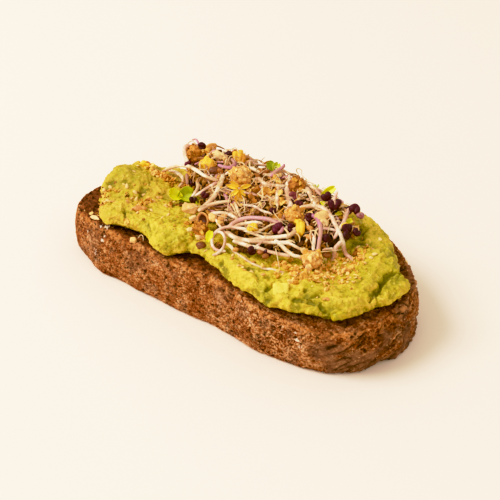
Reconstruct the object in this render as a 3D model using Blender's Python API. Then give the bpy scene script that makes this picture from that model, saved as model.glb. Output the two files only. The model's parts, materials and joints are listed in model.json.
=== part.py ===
"""Open avocado toast: a thick slice of dark rye bread, a layer of mashed avocado with two tall dollops,
and a heap of sprouts and crumbs that holds a few large crunchy clusters.

The origin is the middle of the slice's underside. +X runs along the slice to its wide end, +Y points to
its domed side and +Z is up. Lengths are in metres, and the lists of places below are in millimetres.
"""

import math

import bpy
import bmesh
from mathutils import Vector, noise

MM = 0.001
GAP = 0.0003  # air between pieces that touch

# The slice, cut a little askew from a loaf that is flat on its -Y side and domed on its +Y side.
SLICE_THICK = 0.022
TOP_EDGE = [
    (-75.5, -18), (-72.5, -28.5), (-65, -32.8), (-46, -34), (-18, -33.6), (2, -32), (16, -34.8), (33, -38),
    (51, -36.3), (65, -30.5), (72.5, -18), (74.5, -3), (71, 11), (59, 23.8), (43, 33.2), (8, 38.2),
    (-26, 31.5), (-56, 15.5), (-70, 2),
]
BOTTOM_EDGE = [
    (-77.4, -18), (-74.6, -27.5), (-65, -33.2), (-49, -37), (-18, -37.6), (2, -37.4), (16, -37.6), (33, -38),
    (51, -36.2), (64.5, -30.4), (73.4, -18.4), (77, -3), (72.8, 11), (59.5, 23.4), (43, 32), (8, 36.8),
    (-26, 30), (-56, 14.5), (-73, 1),
]
WALL_BULGE = 0.0013  # how far the crust swells outwards at half its height
WALL_WAVE = 0.0007
CORNER = 0.0010  # rounding where the crust meets the two cut faces
RIM_WIDTH = 0.0030  # crust seen from above
RIM_RISE = 0.0009  # the crust stands this much above the crumb

# The mash, spread to this widest edge. It leaves the crust bare at the narrow end, nips in at the
# slice's waist and runs out to a point at the wide end.
MASH_EDGE = [
    (-68, -16.5), (-63.5, -23.5), (-57.5, -29.6), (-49, -32), (-36, -31.8), (-18.5, -34.2), (-12.6, -29.8),
    (-8, -27.8), (4, -30.6), (16, -34.4), (29, -36.8), (42, -35.8), (50.5, -31.4), (60, -28), (66, -21.6),
    (70, -10), (73.6, 1.5), (72.4, 6.4), (66.5, 9.2), (57.5, 19), (43.5, 29.6), (8, 35), (-26, 28),
    (-52, 15), (-65.5, 4), (-70, -7),
]
MASH_FOOT = 0.0034  # how far the foot of the mash is drawn in under its edge
MASH_LIP = 0.0030  # height of its widest edge above the crumb
MASH_THICK = 0.0082
MASH_SHOULDER = 0.0055  # width over which the top rounds down to the edge
MASH_RIPPLE = 0.0010
# Dollops and furrows in the mash: place, height and radius.
MASH_MOUNDS = [
    (-62, -6, 3.6, 10),
    (-50, -12, 1.2, 10),
    (-44, 12, -2.6, 10),
    (-34, -8, -1.4, 9),
    (-20, -26, 0.8, 8),
    (16, -28, 0.8, 8),
    (46, -24, 1.6, 9),
    (61, -14, 1.2, 7),
    (58, 8, 2.6, 10),
    (66, -5, -2.0, 6),
    (40, 24, 1.2, 10),
    (48, -8, -1.6, 8),
]

# The heap lies on the mash out to this edge. Its skin is highest along a ridge near the back, falls
# gently towards -Y and +X, and drops steeply at the edge.
HEAP_EDGE = [
    (-45, 13), (-40, 4), (-32, -4), (-23, -13), (-13, -22), (1, -25), (21, -23.5), (35, -14),
    (42, -2), (44, 11), (37, 21), (12, 26), (-14, 26), (-36, 20),
]
HEAP_CREST = 0.0432
HEAP_RIDGE_Y = 0.013
HEAP_FALL_FRONT = 0.27  # fall for each unit in front of the ridge
HEAP_FALL_WIDE = 0.055  # fall for each unit towards +X
HEAP_FOOT = 0.0032  # height of its steep outer edge
HEAP_SHOULDER = 0.0100
HEAP_LUMP = 0.0017
# Humps that give the heap its uneven skyline.
HEAP_HUMPS = [
    (-38, 10, 2.0, 7),
    (-24, 16, 1.4, 6),
    (-10, 16, -1.6, 6),
    (2, 16, 1.0, 6),
    (14, 14, -1.0, 6),
    (36, 12, 1.4, 7),
]

# Crunchy clusters as large as berries, nested in the heap and the mash: place of the centre and radii.
CLUSTERS = {
    "cluster_crest": ((-10.6, 6.2, 41.9), (5.0, 4.4, 4.3)),
    "cluster_left": ((-36.5, 7.4, 42.4), (3.4, 3.2, 4.4)),
    "cluster_back": ((11.0, 15.4, 41.0), (3.8, 3.4, 3.8)),
    "cluster_middle": ((20.0, 1.2, 37.8), (4.2, 3.6, 3.6)),
    "cluster_front": ((38.0, -12.4, 32.4), (3.9, 3.4, 3.8)),
    "cluster_edge": ((-10.0, -21.2, 31.2), (3.2, 3.0, 3.4)),
}
CLUSTER_BUMP = 0.0006


def clear_scene():
    for obj in list(bpy.data.objects):
        bpy.data.objects.remove(obj, do_unlink=True)


def material(name, colour, roughness):
    made = bpy.data.materials.new(name)
    made.use_nodes = True
    surface = made.node_tree.nodes["Principled BSDF"]
    surface.inputs["Base Color"].default_value = (*colour, 1.0)
    surface.inputs["Roughness"].default_value = roughness
    surface.inputs["Metallic"].default_value = 0.0
    return made


def closed_curve(places, count):
    """count points, evenly spaced, along a smooth closed curve through places given in millimetres."""
    ring = [Vector((x, y)) * MM for x, y in places]
    fine = []
    for i, p1 in enumerate(ring):
        p0, p2, p3 = ring[i - 1], ring[(i + 1) % len(ring)], ring[(i + 2) % len(ring)]
        for step in range(40):
            t = step / 40
            fine.append(
                0.5 * (2 * p1 + (p2 - p0) * t + (2 * p0 - 5 * p1 + 4 * p2 - p3) * t * t
                       + (3 * p1 - p0 - 3 * p2 + p3) * t ** 3)
            )
    lengths = [0.0]
    for a, b in zip(fine, fine[1:] + fine[:1]):
        lengths.append(lengths[-1] + (b - a).length)
    points, k = [], 0
    for i in range(count):
        along = lengths[-1] * i / count
        while lengths[k + 1] < along:
            k += 1
        share = (along - lengths[k]) / (lengths[k + 1] - lengths[k])
        points.append(fine[k].lerp(fine[(k + 1) % len(fine)], share))
    return points


def outward(ring):
    """The outward direction at each point of a ring that runs counterclockwise."""
    found = []
    for i in range(len(ring)):
        along = ring[(i + 1) % len(ring)] - ring[i - 1]
        found.append(Vector((along.y, -along.x)).normalized())
    return found


def moved(ring, by):
    """The ring with each point moved outwards by its own distance."""
    return [p + n * d for p, n, d in zip(ring, outward(ring), by)]


def falloff(point, x, y, radius):
    """1 at the place, fading to 0 over the radius."""
    away = (point - Vector((x, y)) * MM).length / (radius * MM)
    return math.exp(-away * away)


def wave(x, y, z, size):
    """Smooth noise between about -1 and 1, with features of that size."""
    return noise.noise(Vector((x, y, z)) / size)


def solid(name, rings, finish, tip=None):
    """A closed body through rings of (x, y, z), from its underside up. tip closes the top with a fan."""
    mesh = bmesh.new()
    rows = [[mesh.verts.new(p) for p in ring] for ring in rings]
    count = len(rows[0])
    for low, high in zip(rows, rows[1:]):
        for i in range(count):
            j = (i + 1) % count
            mesh.faces.new((low[i], low[j], high[j], high[i]))
    mesh.faces.new(rows[0][::-1])
    if tip is None:
        mesh.faces.new(rows[-1])
    else:
        peak = mesh.verts.new(tip)
        for i in range(count):
            mesh.faces.new((rows[-1][i], rows[-1][(i + 1) % count], peak))
    data = bpy.data.meshes.new(name)
    mesh.to_mesh(data)
    mesh.free()
    data.shade_smooth()
    if finish:
        data.materials.append(finish)
    obj = bpy.data.objects.new(name, data)
    bpy.context.scene.collection.objects.link(obj)
    return obj


def bread():
    """The slice: two cut faces, a swelling crust between them and a rim that stands above the crumb."""
    count = 80
    top, bottom = closed_curve(TOP_EDGE, count), closed_curve(BOTTOM_EDGE, count)

    def wall(height, inset):
        share = height / SLICE_THICK
        ring = [b.lerp(t, share) for b, t in zip(bottom, top)]
        swell = WALL_BULGE * math.sin(math.pi * share)
        out = [swell - inset + WALL_WAVE * wave(p.x, p.y, height, 0.011) for p in ring]
        return [(p.x, p.y, height) for p in moved(ring, out)]

    rings = [wall(0, CORNER), wall(0.9 * CORNER, 0)]
    rings += [wall(SLICE_THICK * share, 0) for share in (0.20, 0.38, 0.56, 0.74, 0.88)]
    rings += [wall(SLICE_THICK - 0.4 * CORNER, 0.25 * CORNER), wall(SLICE_THICK, CORNER)]
    crumb = SLICE_THICK - RIM_RISE
    rings.append([(x, y, crumb) for x, y, _ in wall(SLICE_THICK, RIM_WIDTH)])
    return solid("bread", rings, material("crust", (0.200, 0.085, 0.035), 0.85))


def mash_height(point):
    """Height of the mash above the crumb, away from its edge."""
    mounds = sum(by * MM * falloff(point, x, y, r) for x, y, by, r in MASH_MOUNDS)
    swirl = wave(point.x, point.y, 0.3, 0.012) + 0.5 * wave(point.x, point.y, 0.7, 0.006)
    return MASH_THICK + mounds + MASH_RIPPLE * swirl


def rounded(share):
    """A quarter circle that rises from 0 at share 0 to 1 at share 1."""
    return math.sqrt(1 - (1 - min(share, 1)) ** 2)


def mash_rings(lift):
    """The rings of the mash: a foot drawn in under a bulging edge, then the top up to its middle."""
    count = 90
    edge = closed_curve(MASH_EDGE, count)
    edge = moved(edge, [MASH_RIPPLE * wave(p.x, p.y, 0, 0.0065) for p in edge])
    floor = SLICE_THICK - RIM_RISE + GAP + lift

    def level(inset, height):
        return [(p.x, p.y, height) for p in moved(edge, [-inset] * count)]

    rings = [level(MASH_FOOT, floor), level(0.6 * MASH_FOOT, floor + 0.5 * MASH_LIP), level(0, floor + MASH_LIP)]
    for share in (0.985, 0.95, 0.90, 0.83, 0.73, 0.61, 0.46, 0.30, 0.14):
        ring = []
        for p in edge:
            q = p * share
            rise = (mash_height(q) - MASH_LIP) * rounded((p - q).length / MASH_SHOULDER)
            ring.append((q.x, q.y, floor + MASH_LIP + rise))
        rings.append(ring)
    return rings, (0, 0, floor + mash_height(Vector((0, 0))))


def mash():
    """The mashed avocado on the crumb."""
    rings, tip = mash_rings(0)
    return solid("avocado_mash", rings, material("mash", (0.480, 0.470, 0.060), 0.42), tip)


def heap_top(point):
    """Height of the heap's skin above the slice's underside, away from its edge."""
    humps = sum(by * MM * falloff(point, x, y, r) for x, y, by, r in HEAP_HUMPS)
    lumps = wave(point.x, point.y, 1.3, 0.007) + 0.6 * wave(point.x, point.y, 2.1, 0.0035)
    fall = HEAP_FALL_FRONT * max(HEAP_RIDGE_Y - point.y, 0) + HEAP_FALL_WIDE * point.x
    return HEAP_CREST - fall + humps + HEAP_LUMP * lumps


def heap():
    """The heap of sprouts and crumbs as one body. Its underside is cut to the mash it lies on."""
    count = 60
    edge = closed_curve(HEAP_EDGE, count)
    centre = sum(edge, Vector((0, 0))) / count
    lobes = [HEAP_LUMP * wave(p.x, p.y, 4.0, 0.008) for p in edge]
    base = SLICE_THICK + MASH_THICK + HEAP_FOOT
    rings = []
    for share in (1, 0.98, 0.93, 0.85, 0.75, 0.63, 0.50, 0.35, 0.18):
        ring = [centre + (p - centre) * share for p in moved(edge, [lobe * share ** 4 for lobe in lobes])]
        skin = []
        for p, q in zip(edge, ring):
            rise = rounded((p - q).length / HEAP_SHOULDER)
            skin.append((q.x, q.y, base + (heap_top(q) - base) * rise))
        rings.append(skin)
    rings.insert(0, [(x, y, SLICE_THICK + 2 * MM) for x, y, _ in rings[0]])
    tip = (centre.x, centre.y, heap_top(centre))
    obj = solid("sprout_heap", rings, material("sprouts", (0.420, 0.270, 0.110), 0.6), tip)
    rings, tip = mash_rings(1.4 * GAP)
    cut(obj, solid("mash_hollow", rings, None, tip))
    return obj


def lump(name, centre, radii, grow, finish):
    """A knobbly ball of crumbs. grow makes the same ball a little larger, as a cutter."""
    mesh = bmesh.new()
    bmesh.ops.create_icosphere(mesh, subdivisions=3, radius=1.0)
    for vertex in mesh.verts:
        way = vertex.co.normalized()
        bump = CLUSTER_BUMP * noise.noise(way * 2.6 + centre * 400)
        vertex.co = Vector([w * (r * MM + bump + grow) for w, r in zip(way, radii)])
    data = bpy.data.meshes.new(name)
    mesh.to_mesh(data)
    mesh.free()
    data.shade_smooth()
    if finish:
        data.materials.append(finish)
    obj = bpy.data.objects.new(name, data)
    obj.location = centre
    bpy.context.scene.collection.objects.link(obj)
    return obj


def cut(obj, cutter):
    """Takes the cutter out of the object with a Boolean, and keeps the cutter as a hidden helper."""
    cutter.hide_render = True
    cutter.display_type = "WIRE"
    boolean = obj.modifiers.new("nest_" + cutter.name, "BOOLEAN")
    boolean.operation = "DIFFERENCE"
    boolean.object = cutter


def clusters(below):
    """The crunchy clusters, each nested in a hollow that its larger copy cuts in what lies below it."""
    finish = material("cluster", (0.430, 0.210, 0.060), 0.75)
    for name, (place, radii) in CLUSTERS.items():
        centre = Vector(place) * MM
        lump(name, centre, radii, 0, finish)
        cutter = lump("hollow_" + name, centre, radii, 1.4 * GAP, None)
        for obj in below:
            cut(obj, cutter)


clear_scene()
bread()
clusters([mash(), heap()])
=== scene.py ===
"""Open avocado toast: dark rye bread, mashed avocado, and a heap of radish sprouts, crumbs and clusters.

Lengths are in metres, but those in lists and in the calls that place things are in millimetres, with
turns in degrees, and MM makes metres of them.
"""

import json
import math
import random
from functools import partialmethod

import bmesh
import bpy
import numpy as np
from mathutils import Euler, Matrix, Quaternion, Vector, noise
from mathutils.bvhtree import BVHTree

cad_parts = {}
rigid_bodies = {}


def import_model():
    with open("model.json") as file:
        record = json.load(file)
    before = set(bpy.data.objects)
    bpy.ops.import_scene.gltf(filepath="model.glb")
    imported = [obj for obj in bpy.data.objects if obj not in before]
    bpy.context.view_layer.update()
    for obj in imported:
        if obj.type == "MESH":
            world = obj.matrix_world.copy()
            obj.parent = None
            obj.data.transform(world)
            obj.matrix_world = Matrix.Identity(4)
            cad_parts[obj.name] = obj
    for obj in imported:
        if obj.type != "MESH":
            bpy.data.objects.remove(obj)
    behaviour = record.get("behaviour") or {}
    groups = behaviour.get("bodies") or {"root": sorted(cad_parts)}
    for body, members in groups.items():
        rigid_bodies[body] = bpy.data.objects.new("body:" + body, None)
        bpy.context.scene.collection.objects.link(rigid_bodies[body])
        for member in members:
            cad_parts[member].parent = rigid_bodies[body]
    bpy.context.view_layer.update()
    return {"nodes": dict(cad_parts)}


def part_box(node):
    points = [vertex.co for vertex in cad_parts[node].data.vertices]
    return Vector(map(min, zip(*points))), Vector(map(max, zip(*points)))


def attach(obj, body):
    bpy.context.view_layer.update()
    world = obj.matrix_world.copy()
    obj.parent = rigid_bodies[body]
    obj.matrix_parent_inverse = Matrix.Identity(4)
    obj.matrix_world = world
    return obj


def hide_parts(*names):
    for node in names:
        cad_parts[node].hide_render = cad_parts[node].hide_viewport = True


MM = 0.001

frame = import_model()


# --- Slice of bread ---
# A thick slice of dark rye loaf, lying on its cut face. Its crust runs all round it as a rough,
# floury, pitted wall, and its top edge stands a little above the crumb that carries the mash.

CRUST_CELL = 0.87 * MM  # size of the mesh's cells where nobody sees it; half that on the crust
WELD = 0.002 * MM  # points that lie closer than this are one


class Wire:
    """An output of a node. Sums on it add Math nodes, and add() puts any other node in its tree."""

    def __init__(self, tree, socket=None):
        self.tree, self.socket = tree, socket

    @staticmethod
    def choose(sockets, name):
        if isinstance(name, int):
            return sockets[name]
        return next(s for s in sockets if s.enabled and (name is None or s.name == name))

    def add(self, kind, settings=None, values=None, out=None):
        node = self.tree.nodes.new(kind)
        for name, value in (settings or {}).items():
            setattr(node, name, value)
        for name, value in (values or {}).items():
            socket = self.choose(node.inputs, name)
            if isinstance(value, Wire):
                self.tree.links.new(value.socket, socket)
            elif socket.type == "RGBA" and len(value) == 3:
                socket.default_value = (*value, 1)
            else:
                socket.default_value = value
        return Wire(self.tree, self.choose(node.outputs, out))

    def combined(self, operation, other):
        return self.add("ShaderNodeMath", {"operation": operation}, {0: self, 1: other})

    def vector(self, operation, other):
        return self.add("ShaderNodeVectorMath", {"operation": operation}, {0: self, 1: other})

    __add__ = __radd__ = partialmethod(combined, "ADD")
    __sub__ = partialmethod(combined, "SUBTRACT")
    __mul__ = __rmul__ = partialmethod(combined, "MULTIPLY")
    __abs__ = partialmethod(combined, "ABSOLUTE", 0)
    max = partialmethod(combined, "MAXIMUM")
    plus = partialmethod(vector, "ADD")
    times = partialmethod(vector, "MULTIPLY")

    def __rsub__(self, other):
        return self.add("ShaderNodeMath", {"operation": "SUBTRACT"}, {0: other, 1: self})

    def scaled(self, by):
        return self.add("ShaderNodeVectorMath", {"operation": "SCALE"}, {"Vector": self, "Scale": by})

    def part(self, axis):
        return self.add("ShaderNodeSeparateXYZ", {}, {0: self}, axis)

    def step(self, low, high):
        """0 where this is below low, 1 above high, and smooth between them."""
        values = {"Value": self, "From Min": low, "From Max": high}
        return self.add("ShaderNodeMapRange", {"interpolation_type": "SMOOTHSTEP"}, values)

    def blend(self, first, second):
        """The first colour where this is 0, the second where it is 1."""
        return self.add("ShaderNodeMix", {"data_type": "RGBA"}, {"Factor": self, "A": first, "B": second})

    def ramp(self, *stops):
        """The colour where this lies among the stops, which are (value, colour)."""
        made = self.add("ShaderNodeValToRGB", {}, {"Fac": self})
        points = made.socket.node.color_ramp.elements
        while len(points) < len(stops):
            points.new(0.5)
        for point, (at, colour) in zip(points, stops):
            point.position, point.color = at, (*colour, 1)
        return made

    def grain(self, size, detail=2, roughness=0.5, out=0):
        """Noise from 0 to 1 at this place, with features of that size in millimetres."""
        values = {"Vector": self, "Scale": 1 / (size * MM), "Detail": detail, "Roughness": roughness}
        return self.add("ShaderNodeTexNoise", {}, values, out)

    def cells(self, size, feature="F1"):
        """Distance to the nearest of points spread about that many mm apart, or to an edge between two."""
        values = {"Vector": self, "Scale": 1 / (size * MM)}
        return self.add("ShaderNodeTexVoronoi", {"feature": feature}, values, "Distance")

    def warped(self, size, by):
        """This place, pushed about by noise of that size, both in millimetres."""
        return self.plus(self.grain(size, 1, out="Color").plus((-0.5, -0.5, -0.5)).scaled(by * MM))


def finish(name, build, roughness=0.5, **constants):
    """A material whose build(object coordinates) gives the sockets that vary over the surface."""
    made = bpy.data.materials.new(name)
    made.use_nodes = True
    shader = made.node_tree.nodes["Principled BSDF"]
    for label, value in {"Roughness": roughness, **constants}.items():
        shader.inputs[label.replace("_", " ")].default_value = value
    place = Wire(made.node_tree).add("ShaderNodeTexCoord", out="Object")
    for label, wire in build(place).items():
        made.node_tree.links.new(wire.socket, shader.inputs[label])
    return made


def painted(colour, *coats):
    """The colour under coats of others, each given with how much of it there is, from 0 to 1."""
    for share, coat in coats:
        colour = share.blend(colour, coat)
    return colour


def bumped(height, depth):
    """The normal that this height, from 0 to 1, gives over that real depth in millimetres."""
    return height.add("ShaderNodeBump", {}, {"Height": height, "Distance": depth * MM, "Strength": 1})


def textured(colour, grain, rough, rougher, depth=0):
    """What varies over a surface that its grain makes rougher, and uneven by that depth."""
    found = {"Base Color": colour, "Roughness": grain * rougher + rough}
    return {**found, "Normal": bumped(grain, depth)} if depth else found


def attribute(place, name):
    return place.add("ShaderNodeAttribute", {"attribute_name": name}, out="Fac")


def linked(name, mesh):
    made = bpy.data.objects.new(name, mesh)
    bpy.context.scene.collection.objects.link(made)
    return made


def drop(obj):
    bpy.data.objects.remove(obj, do_unlink=True)


def evaluated_mesh(obj):
    return bpy.data.meshes.new_from_object(obj.evaluated_get(bpy.context.evaluated_depsgraph_get()))


def dense_copy(node, cell, rounds, fine=None):
    """A closed copy of a CAD node in even cells, halved where fine(centre, normal), with no facets left."""
    mesh = frame["nodes"][node].data.copy()
    whole = bmesh.new()
    whole.from_mesh(mesh)
    bmesh.ops.remove_doubles(whole, verts=whole.verts, dist=WELD)
    whole.to_mesh(mesh)
    mesh.materials.clear()
    rough = linked(node + "_rough", mesh)
    cells = rough.modifiers.new("cells", "REMESH")
    cells.mode, cells.voxel_size, cells.use_smooth_shade = "VOXEL", cell, True
    mesh = evaluated_mesh(rough)
    drop(rough)
    whole.clear()
    whole.from_mesh(mesh)
    if fine:
        seen = [face for face in whole.faces if fine(face.calc_center_median(), face.normal)]
        edges = list(dict.fromkeys(edge for face in seen for edge in face.edges))
        bmesh.ops.subdivide_edges(whole, edges=edges, cuts=1, use_grid_fill=True)
    whole.to_mesh(mesh)
    whole.free()
    soft = linked(node + "_soft", mesh)
    even = soft.modifiers.new("even", "SMOOTH")
    even.factor, even.iterations = 0.5, rounds
    mesh = evaluated_mesh(soft)
    drop(soft)
    return mesh


def grow(name, mesh, sizes, build, material):
    """The piece that geometry nodes make from a mesh. sizes are the tree's named inputs, in mm."""
    base = linked(name + "_base", mesh)
    tree = bpy.data.node_groups.new(name, "GeometryNodeTree")
    tree.interface.new_socket("Geometry", in_out="INPUT", socket_type="NodeSocketGeometry")
    tree.interface.new_socket("Geometry", in_out="OUTPUT", socket_type="NodeSocketGeometry")
    sockets = {
        label: tree.interface.new_socket(label, in_out="INPUT", socket_type="NodeSocketFloat").identifier
        for label in sizes
    }
    start, end = tree.nodes.new("NodeGroupInput"), tree.nodes.new("NodeGroupOutput")
    shape = Wire(tree, start.outputs["Geometry"])
    made = build(shape, {label: Wire(tree, start.outputs[label]) for label in sizes})
    made = made.add("GeometryNodeRealizeInstances", {}, {"Geometry": made})
    made = made.add("GeometryNodeSetMaterial", {}, {"Geometry": made, "Material": material})
    tree.links.new(made.socket, end.inputs["Geometry"])
    modifier = base.modifiers.new(name, "NODES")
    modifier.node_group = tree
    for label, value in sizes.items():
        modifier[sockets[label]] = value * MM
    result = evaluated_mesh(base)
    drop(base)
    return linked(name, result)


def stored(shape, name, value):
    values = {"Geometry": shape, "Name": name, "Value": value}
    return shape.add("GeometryNodeStoreNamedAttribute", {"data_type": "FLOAT", "domain": "POINT"}, values)


def named(shape, name, kind="FLOAT"):
    return shape.add("GeometryNodeInputNamedAttribute", {"data_type": kind}, {"Name": name})


def coordinates(mesh):
    """The mesh's points, as the rows of an array."""
    found = np.empty(len(mesh.vertices) * 3, np.float32)
    mesh.vertices.foreach_get("co", found)
    return found.reshape(-1, 3)


def keep(mesh, name, values):
    """Keeps a number for each point on the mesh, where its material finds it."""
    mesh.attributes.new(name, "FLOAT", "POINT").data.foreach_set("value", np.array(values, np.float32))


def pushed(mesh, bulges):
    """The mesh bulging at some places: each place, how wide the bulge is, and the way it goes, in mm."""
    places = coordinates(mesh) / MM
    moved = np.zeros(places.shape)
    for at, width, out in bulges:
        away = np.linalg.norm(places[:, :len(at)] - at, axis=1)
        moved += np.exp(-(away / width) ** 2)[:, None] * out
    mesh.vertices.foreach_set("co", ((places + moved) * MM).ravel())
    return mesh


def raised(shape, height):
    """The shape with each point moved along its normal."""
    way = shape.add("GeometryNodeInputNormal")
    return shape.add("GeometryNodeSetPosition", {}, {"Geometry": shape, "Offset": way.scaled(height)})


CRUMB_REACH = (71 * MM, 33 * MM)  # half the length and width of the crumb inside the rim


def crust_seen(centre, normal):
    """Whether a face is on the crust or just inside its rim, rather than below or under the mash."""
    inside = (centre.x / CRUMB_REACH[0]) ** 2 + (centre.y / CRUMB_REACH[1]) ** 2 < 0.9
    return not (abs(normal.z) > 0.8 and (inside or centre.z < 2 * MM))


def crust_relief(shape, size):
    place = shape.add("GeometryNodeInputPosition")
    up = shape.add("GeometryNodeInputNormal").part("Z")
    x, y, level = (place.part(axis) for axis in "XYZ")
    crumb, wide = up.step(0.45, 0.8), x.step(0.048, 0.064)
    skin = wide * place.grain(13, 1).step(0.42, 0.52)
    swell = (place.grain(12, 2) - 0.5) * size["Swell"]
    rough = (place.grain(1.9, 4, 0.65) - 0.5) * size["Roughness"]
    lean = place.add("ShaderNodeCombineXYZ", {}, {"X": x - level, "Y": y - level, "Z": level * 0.35})
    ridge = (1 - abs(lean.warped(6, 4).grain(5.5, 1) - 0.5) * 9).max(0) * wide
    crack = lean.warped(6, 6).cells(7.5, "DISTANCE_TO_EDGE")
    crack = (1 - crack.step(0.015, 0.06)) * wide * place.grain(8, 1).step(0.38, 0.52)
    pore = 1 - place.warped(1.5, 1.1).cells(2.3).step(0.14, 0.38)
    pore = pore * place.grain(6, 1).step(0.38, 0.56)
    fine = 1 - place.warped(0.8, 0.6).cells(1.15).step(0.12, 0.4)
    pit = (pore.max(fine * 0.6) * (1 - skin * 0.75)).max(crack)
    hole = crumb * (1 - place.warped(1.5, 1).cells(2.1).step(0.22, 0.46))
    for name, value in {"pit": pit.max(hole * 0.9), "skin": skin, "crumb": crumb}.items():
        shape = stored(shape, name, value)
    height = swell + ridge * size["Ridge"] + rough * (1 - named(shape, "skin") * 0.7)
    height = height - named(shape, "pit") * size["Pit Depth"]
    return raised(shape, height * up.step(-0.9, -0.5))


def crust_colours(place):
    labels = ("pit", "skin", "crumb", "damp", "flour")
    pit, skin, crumb, damp, flour = (attribute(place, label) for label in labels)
    x, level = place.part("X"), place.part("Z")
    far = x.step(-0.02, 0.01)
    coarse = (x.step(-0.01, 0.04) - x.step(0.042, 0.06)) * 0.6 + 1
    along = place.times((0.6, 0.6, 1))
    broad = place.grain(7)
    middle = along.warped(3, 3).grain(2.2, 4, 0.75)
    fine = place.grain(0.8, 3, 0.8)
    dark = middle.step(0.4, 0.64).blend((0.09, 0.017, 0.003), (0.42, 0.118, 0.03))
    shade = 0.44 + coarse * 0.09 + ((middle - 0.5) * 1.7 + (fine - 0.5) * 2.2) * coarse + (broad - 0.5)
    dull = place.plus((0.02, 0.03, 0.01)).warped(5, 5).grain(8, 2, 0.6)
    # Painted highlight: the top of the wall, off the crumb, is lightened orange as if lit from above.
    lip = level.step(0.017, 0.0205) * (1 - crumb) * middle.step(0.4, 0.56)
    speck = 1 - along.warped(1.6, 2).cells(1.5).step(0.14, 0.36)
    speck = speck * place.grain(3).step(0.46, 0.58) * (1 - skin * 0.6)
    tan = 1 - place.plus((0.05, 0.02, 0.03)).warped(1.5, 1.5).cells(1.9).step(0.12, 0.26)
    tan = tan * place.grain(5, 1).step(0.46, 0.6)
    dusty = (flour + (fine - 0.5) * 2.4 + (middle - 0.5) * 1.6 - 0.5).step(0, 0.3)
    brown = painted(
        shade.ramp(
            (0, (0.07, 0.01, 0.001)), (0.25, (0.198, 0.038, 0.005)), (0.45, (0.316, 0.089, 0.017)),
            (0.62, (0.405, 0.143, 0.038)), (0.8, (0.555, 0.242, 0.092)), (1, (0.795, 0.45, 0.235)),
        ),
        (dull.step(0.5, 0.62) * 0.4, shade.step(0.2, 0.8).blend((0.15, 0.068, 0.032), (0.4, 0.215, 0.125))),
        (skin * 0.8, middle.step(0.34, 0.66).blend((0.14, 0.052, 0.022), (0.31, 0.132, 0.062))),
        (crumb * (0.85 - far * 0.55), dark),
        # painted highlight on the top edge of the wall
        (lip * 0.45, (0.78, 0.32, 0.09)),
        # painted shadow: near-black on the crumb under the mash's overhanging edge
        (damp * (0.95 - far * 0.8), (0.022, 0.005, 0.001)),
        # painted shade: the pits, cracks, crumb holes and sunken specks go near-black, as the shadow inside
        # them
        ((pit * (0.9 - far * crumb * 0.4)).max(speck * (0.9 - far * 0.3)), (0.03, 0.006, 0.001)),
        (tan * 0.7, (0.82, 0.48, 0.24)),
        (dusty * flour.step(0.02, 0.2), (0.9, 0.76, 0.62)),
    )
    return {
        "Base Color": brown,
        "Roughness": 0.85 - skin * 0.22 - fine * 0.15,
        "Normal": bumped(fine * 0.8 + middle * 0.4 - speck * 0.5, 0.9),
    }


FLOUR = [  # places of floury dabs in mm, their widths, and how white they are
    ((-51.2, -33.1, 21.9), 1.5, 1), ((-53.9, -33.9, 21), 1, 1), ((42.3, -38.2, 16.4), 3.5, 0.25),
    ((24, -38, 15.5), 5.5, 0.25), ((-51, -35.1, 18), 0.8, 1), ((-51.9, -35.5, 15.6), 1.2, 1),
    ((-55.3, -36.2, 8.6), 1.7, 1), ((-54.6, -36.2, 5.4), 1.5, 0.9), ((-52.4, -36.3, 3.4), 1.9, 1),
    ((-61.5, -34.5, 15.6), 1, 0.8), ((48.1, -37.3, 17.9), 0.9, 0.8), ((49.2, -37.4, 14.8), 1.3, 0.9),
    ((50.5, -37.6, 12), 1.1, 0.8), ((22.2, -36.1, 19.8), 2.6, 0.35), ((12, 38.6, 12), 2.4, 0.6),
    ((-36, 35.5, 15), 1.8, 0.8), ((-40, 35, 9), 1.4, 0.7),
]

CRUST_BULGES = [  # places, widths and how far the foot of the crust bulges there, in mm
    ((-53, -35.5, 2), 9, (0.8, -2.6, 0)), ((-71, -30, 3), 6, (0.8, -1.2, 0)),
    ((-30, -37, 2), 8, (0, -0.8, 0)), ((-16.5, -36.8, 2), 8, (0, -1.1, 0)), ((-5, -36.5, 2), 9, (0, -1, 0)),
    ((30, -37.9, 2), 9, (0, -0.8, 0)), ((64, -30.5, 2), 9, (-0.5, 1.4, 0)),
    ((73.5, -18, 2), 5, (-1.2, 1.2, 0)),
]

bread = grow(
    "rye_slice",
    pushed(dense_copy("bread", CRUST_CELL, 8, crust_seen), CRUST_BULGES),
    {"Swell": 0.9, "Roughness": 1.2, "Ridge": 0.9, "Pit Depth": 0.85},
    crust_relief,
    finish("rye crust", crust_colours, Specular_IOR_Level=0.25),
)
places = coordinates(bread.data) / MM
dabs = np.zeros(len(places), np.float32)
for at, width, white in FLOUR:
    dabs = np.maximum(dabs, white * np.exp(-(((places - at) / width) ** 2).sum(axis=1)))
keep(bread.data, "flour", dabs)
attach(bread, "root")
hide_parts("bread")


# --- Mashed avocado ---
# Ripe avocado crushed with a fork and spread by a knife. It keeps soft lumps, folds and smears, its
# edge bulges over the crumb, and whole cubes of the fruit show in it.

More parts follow.
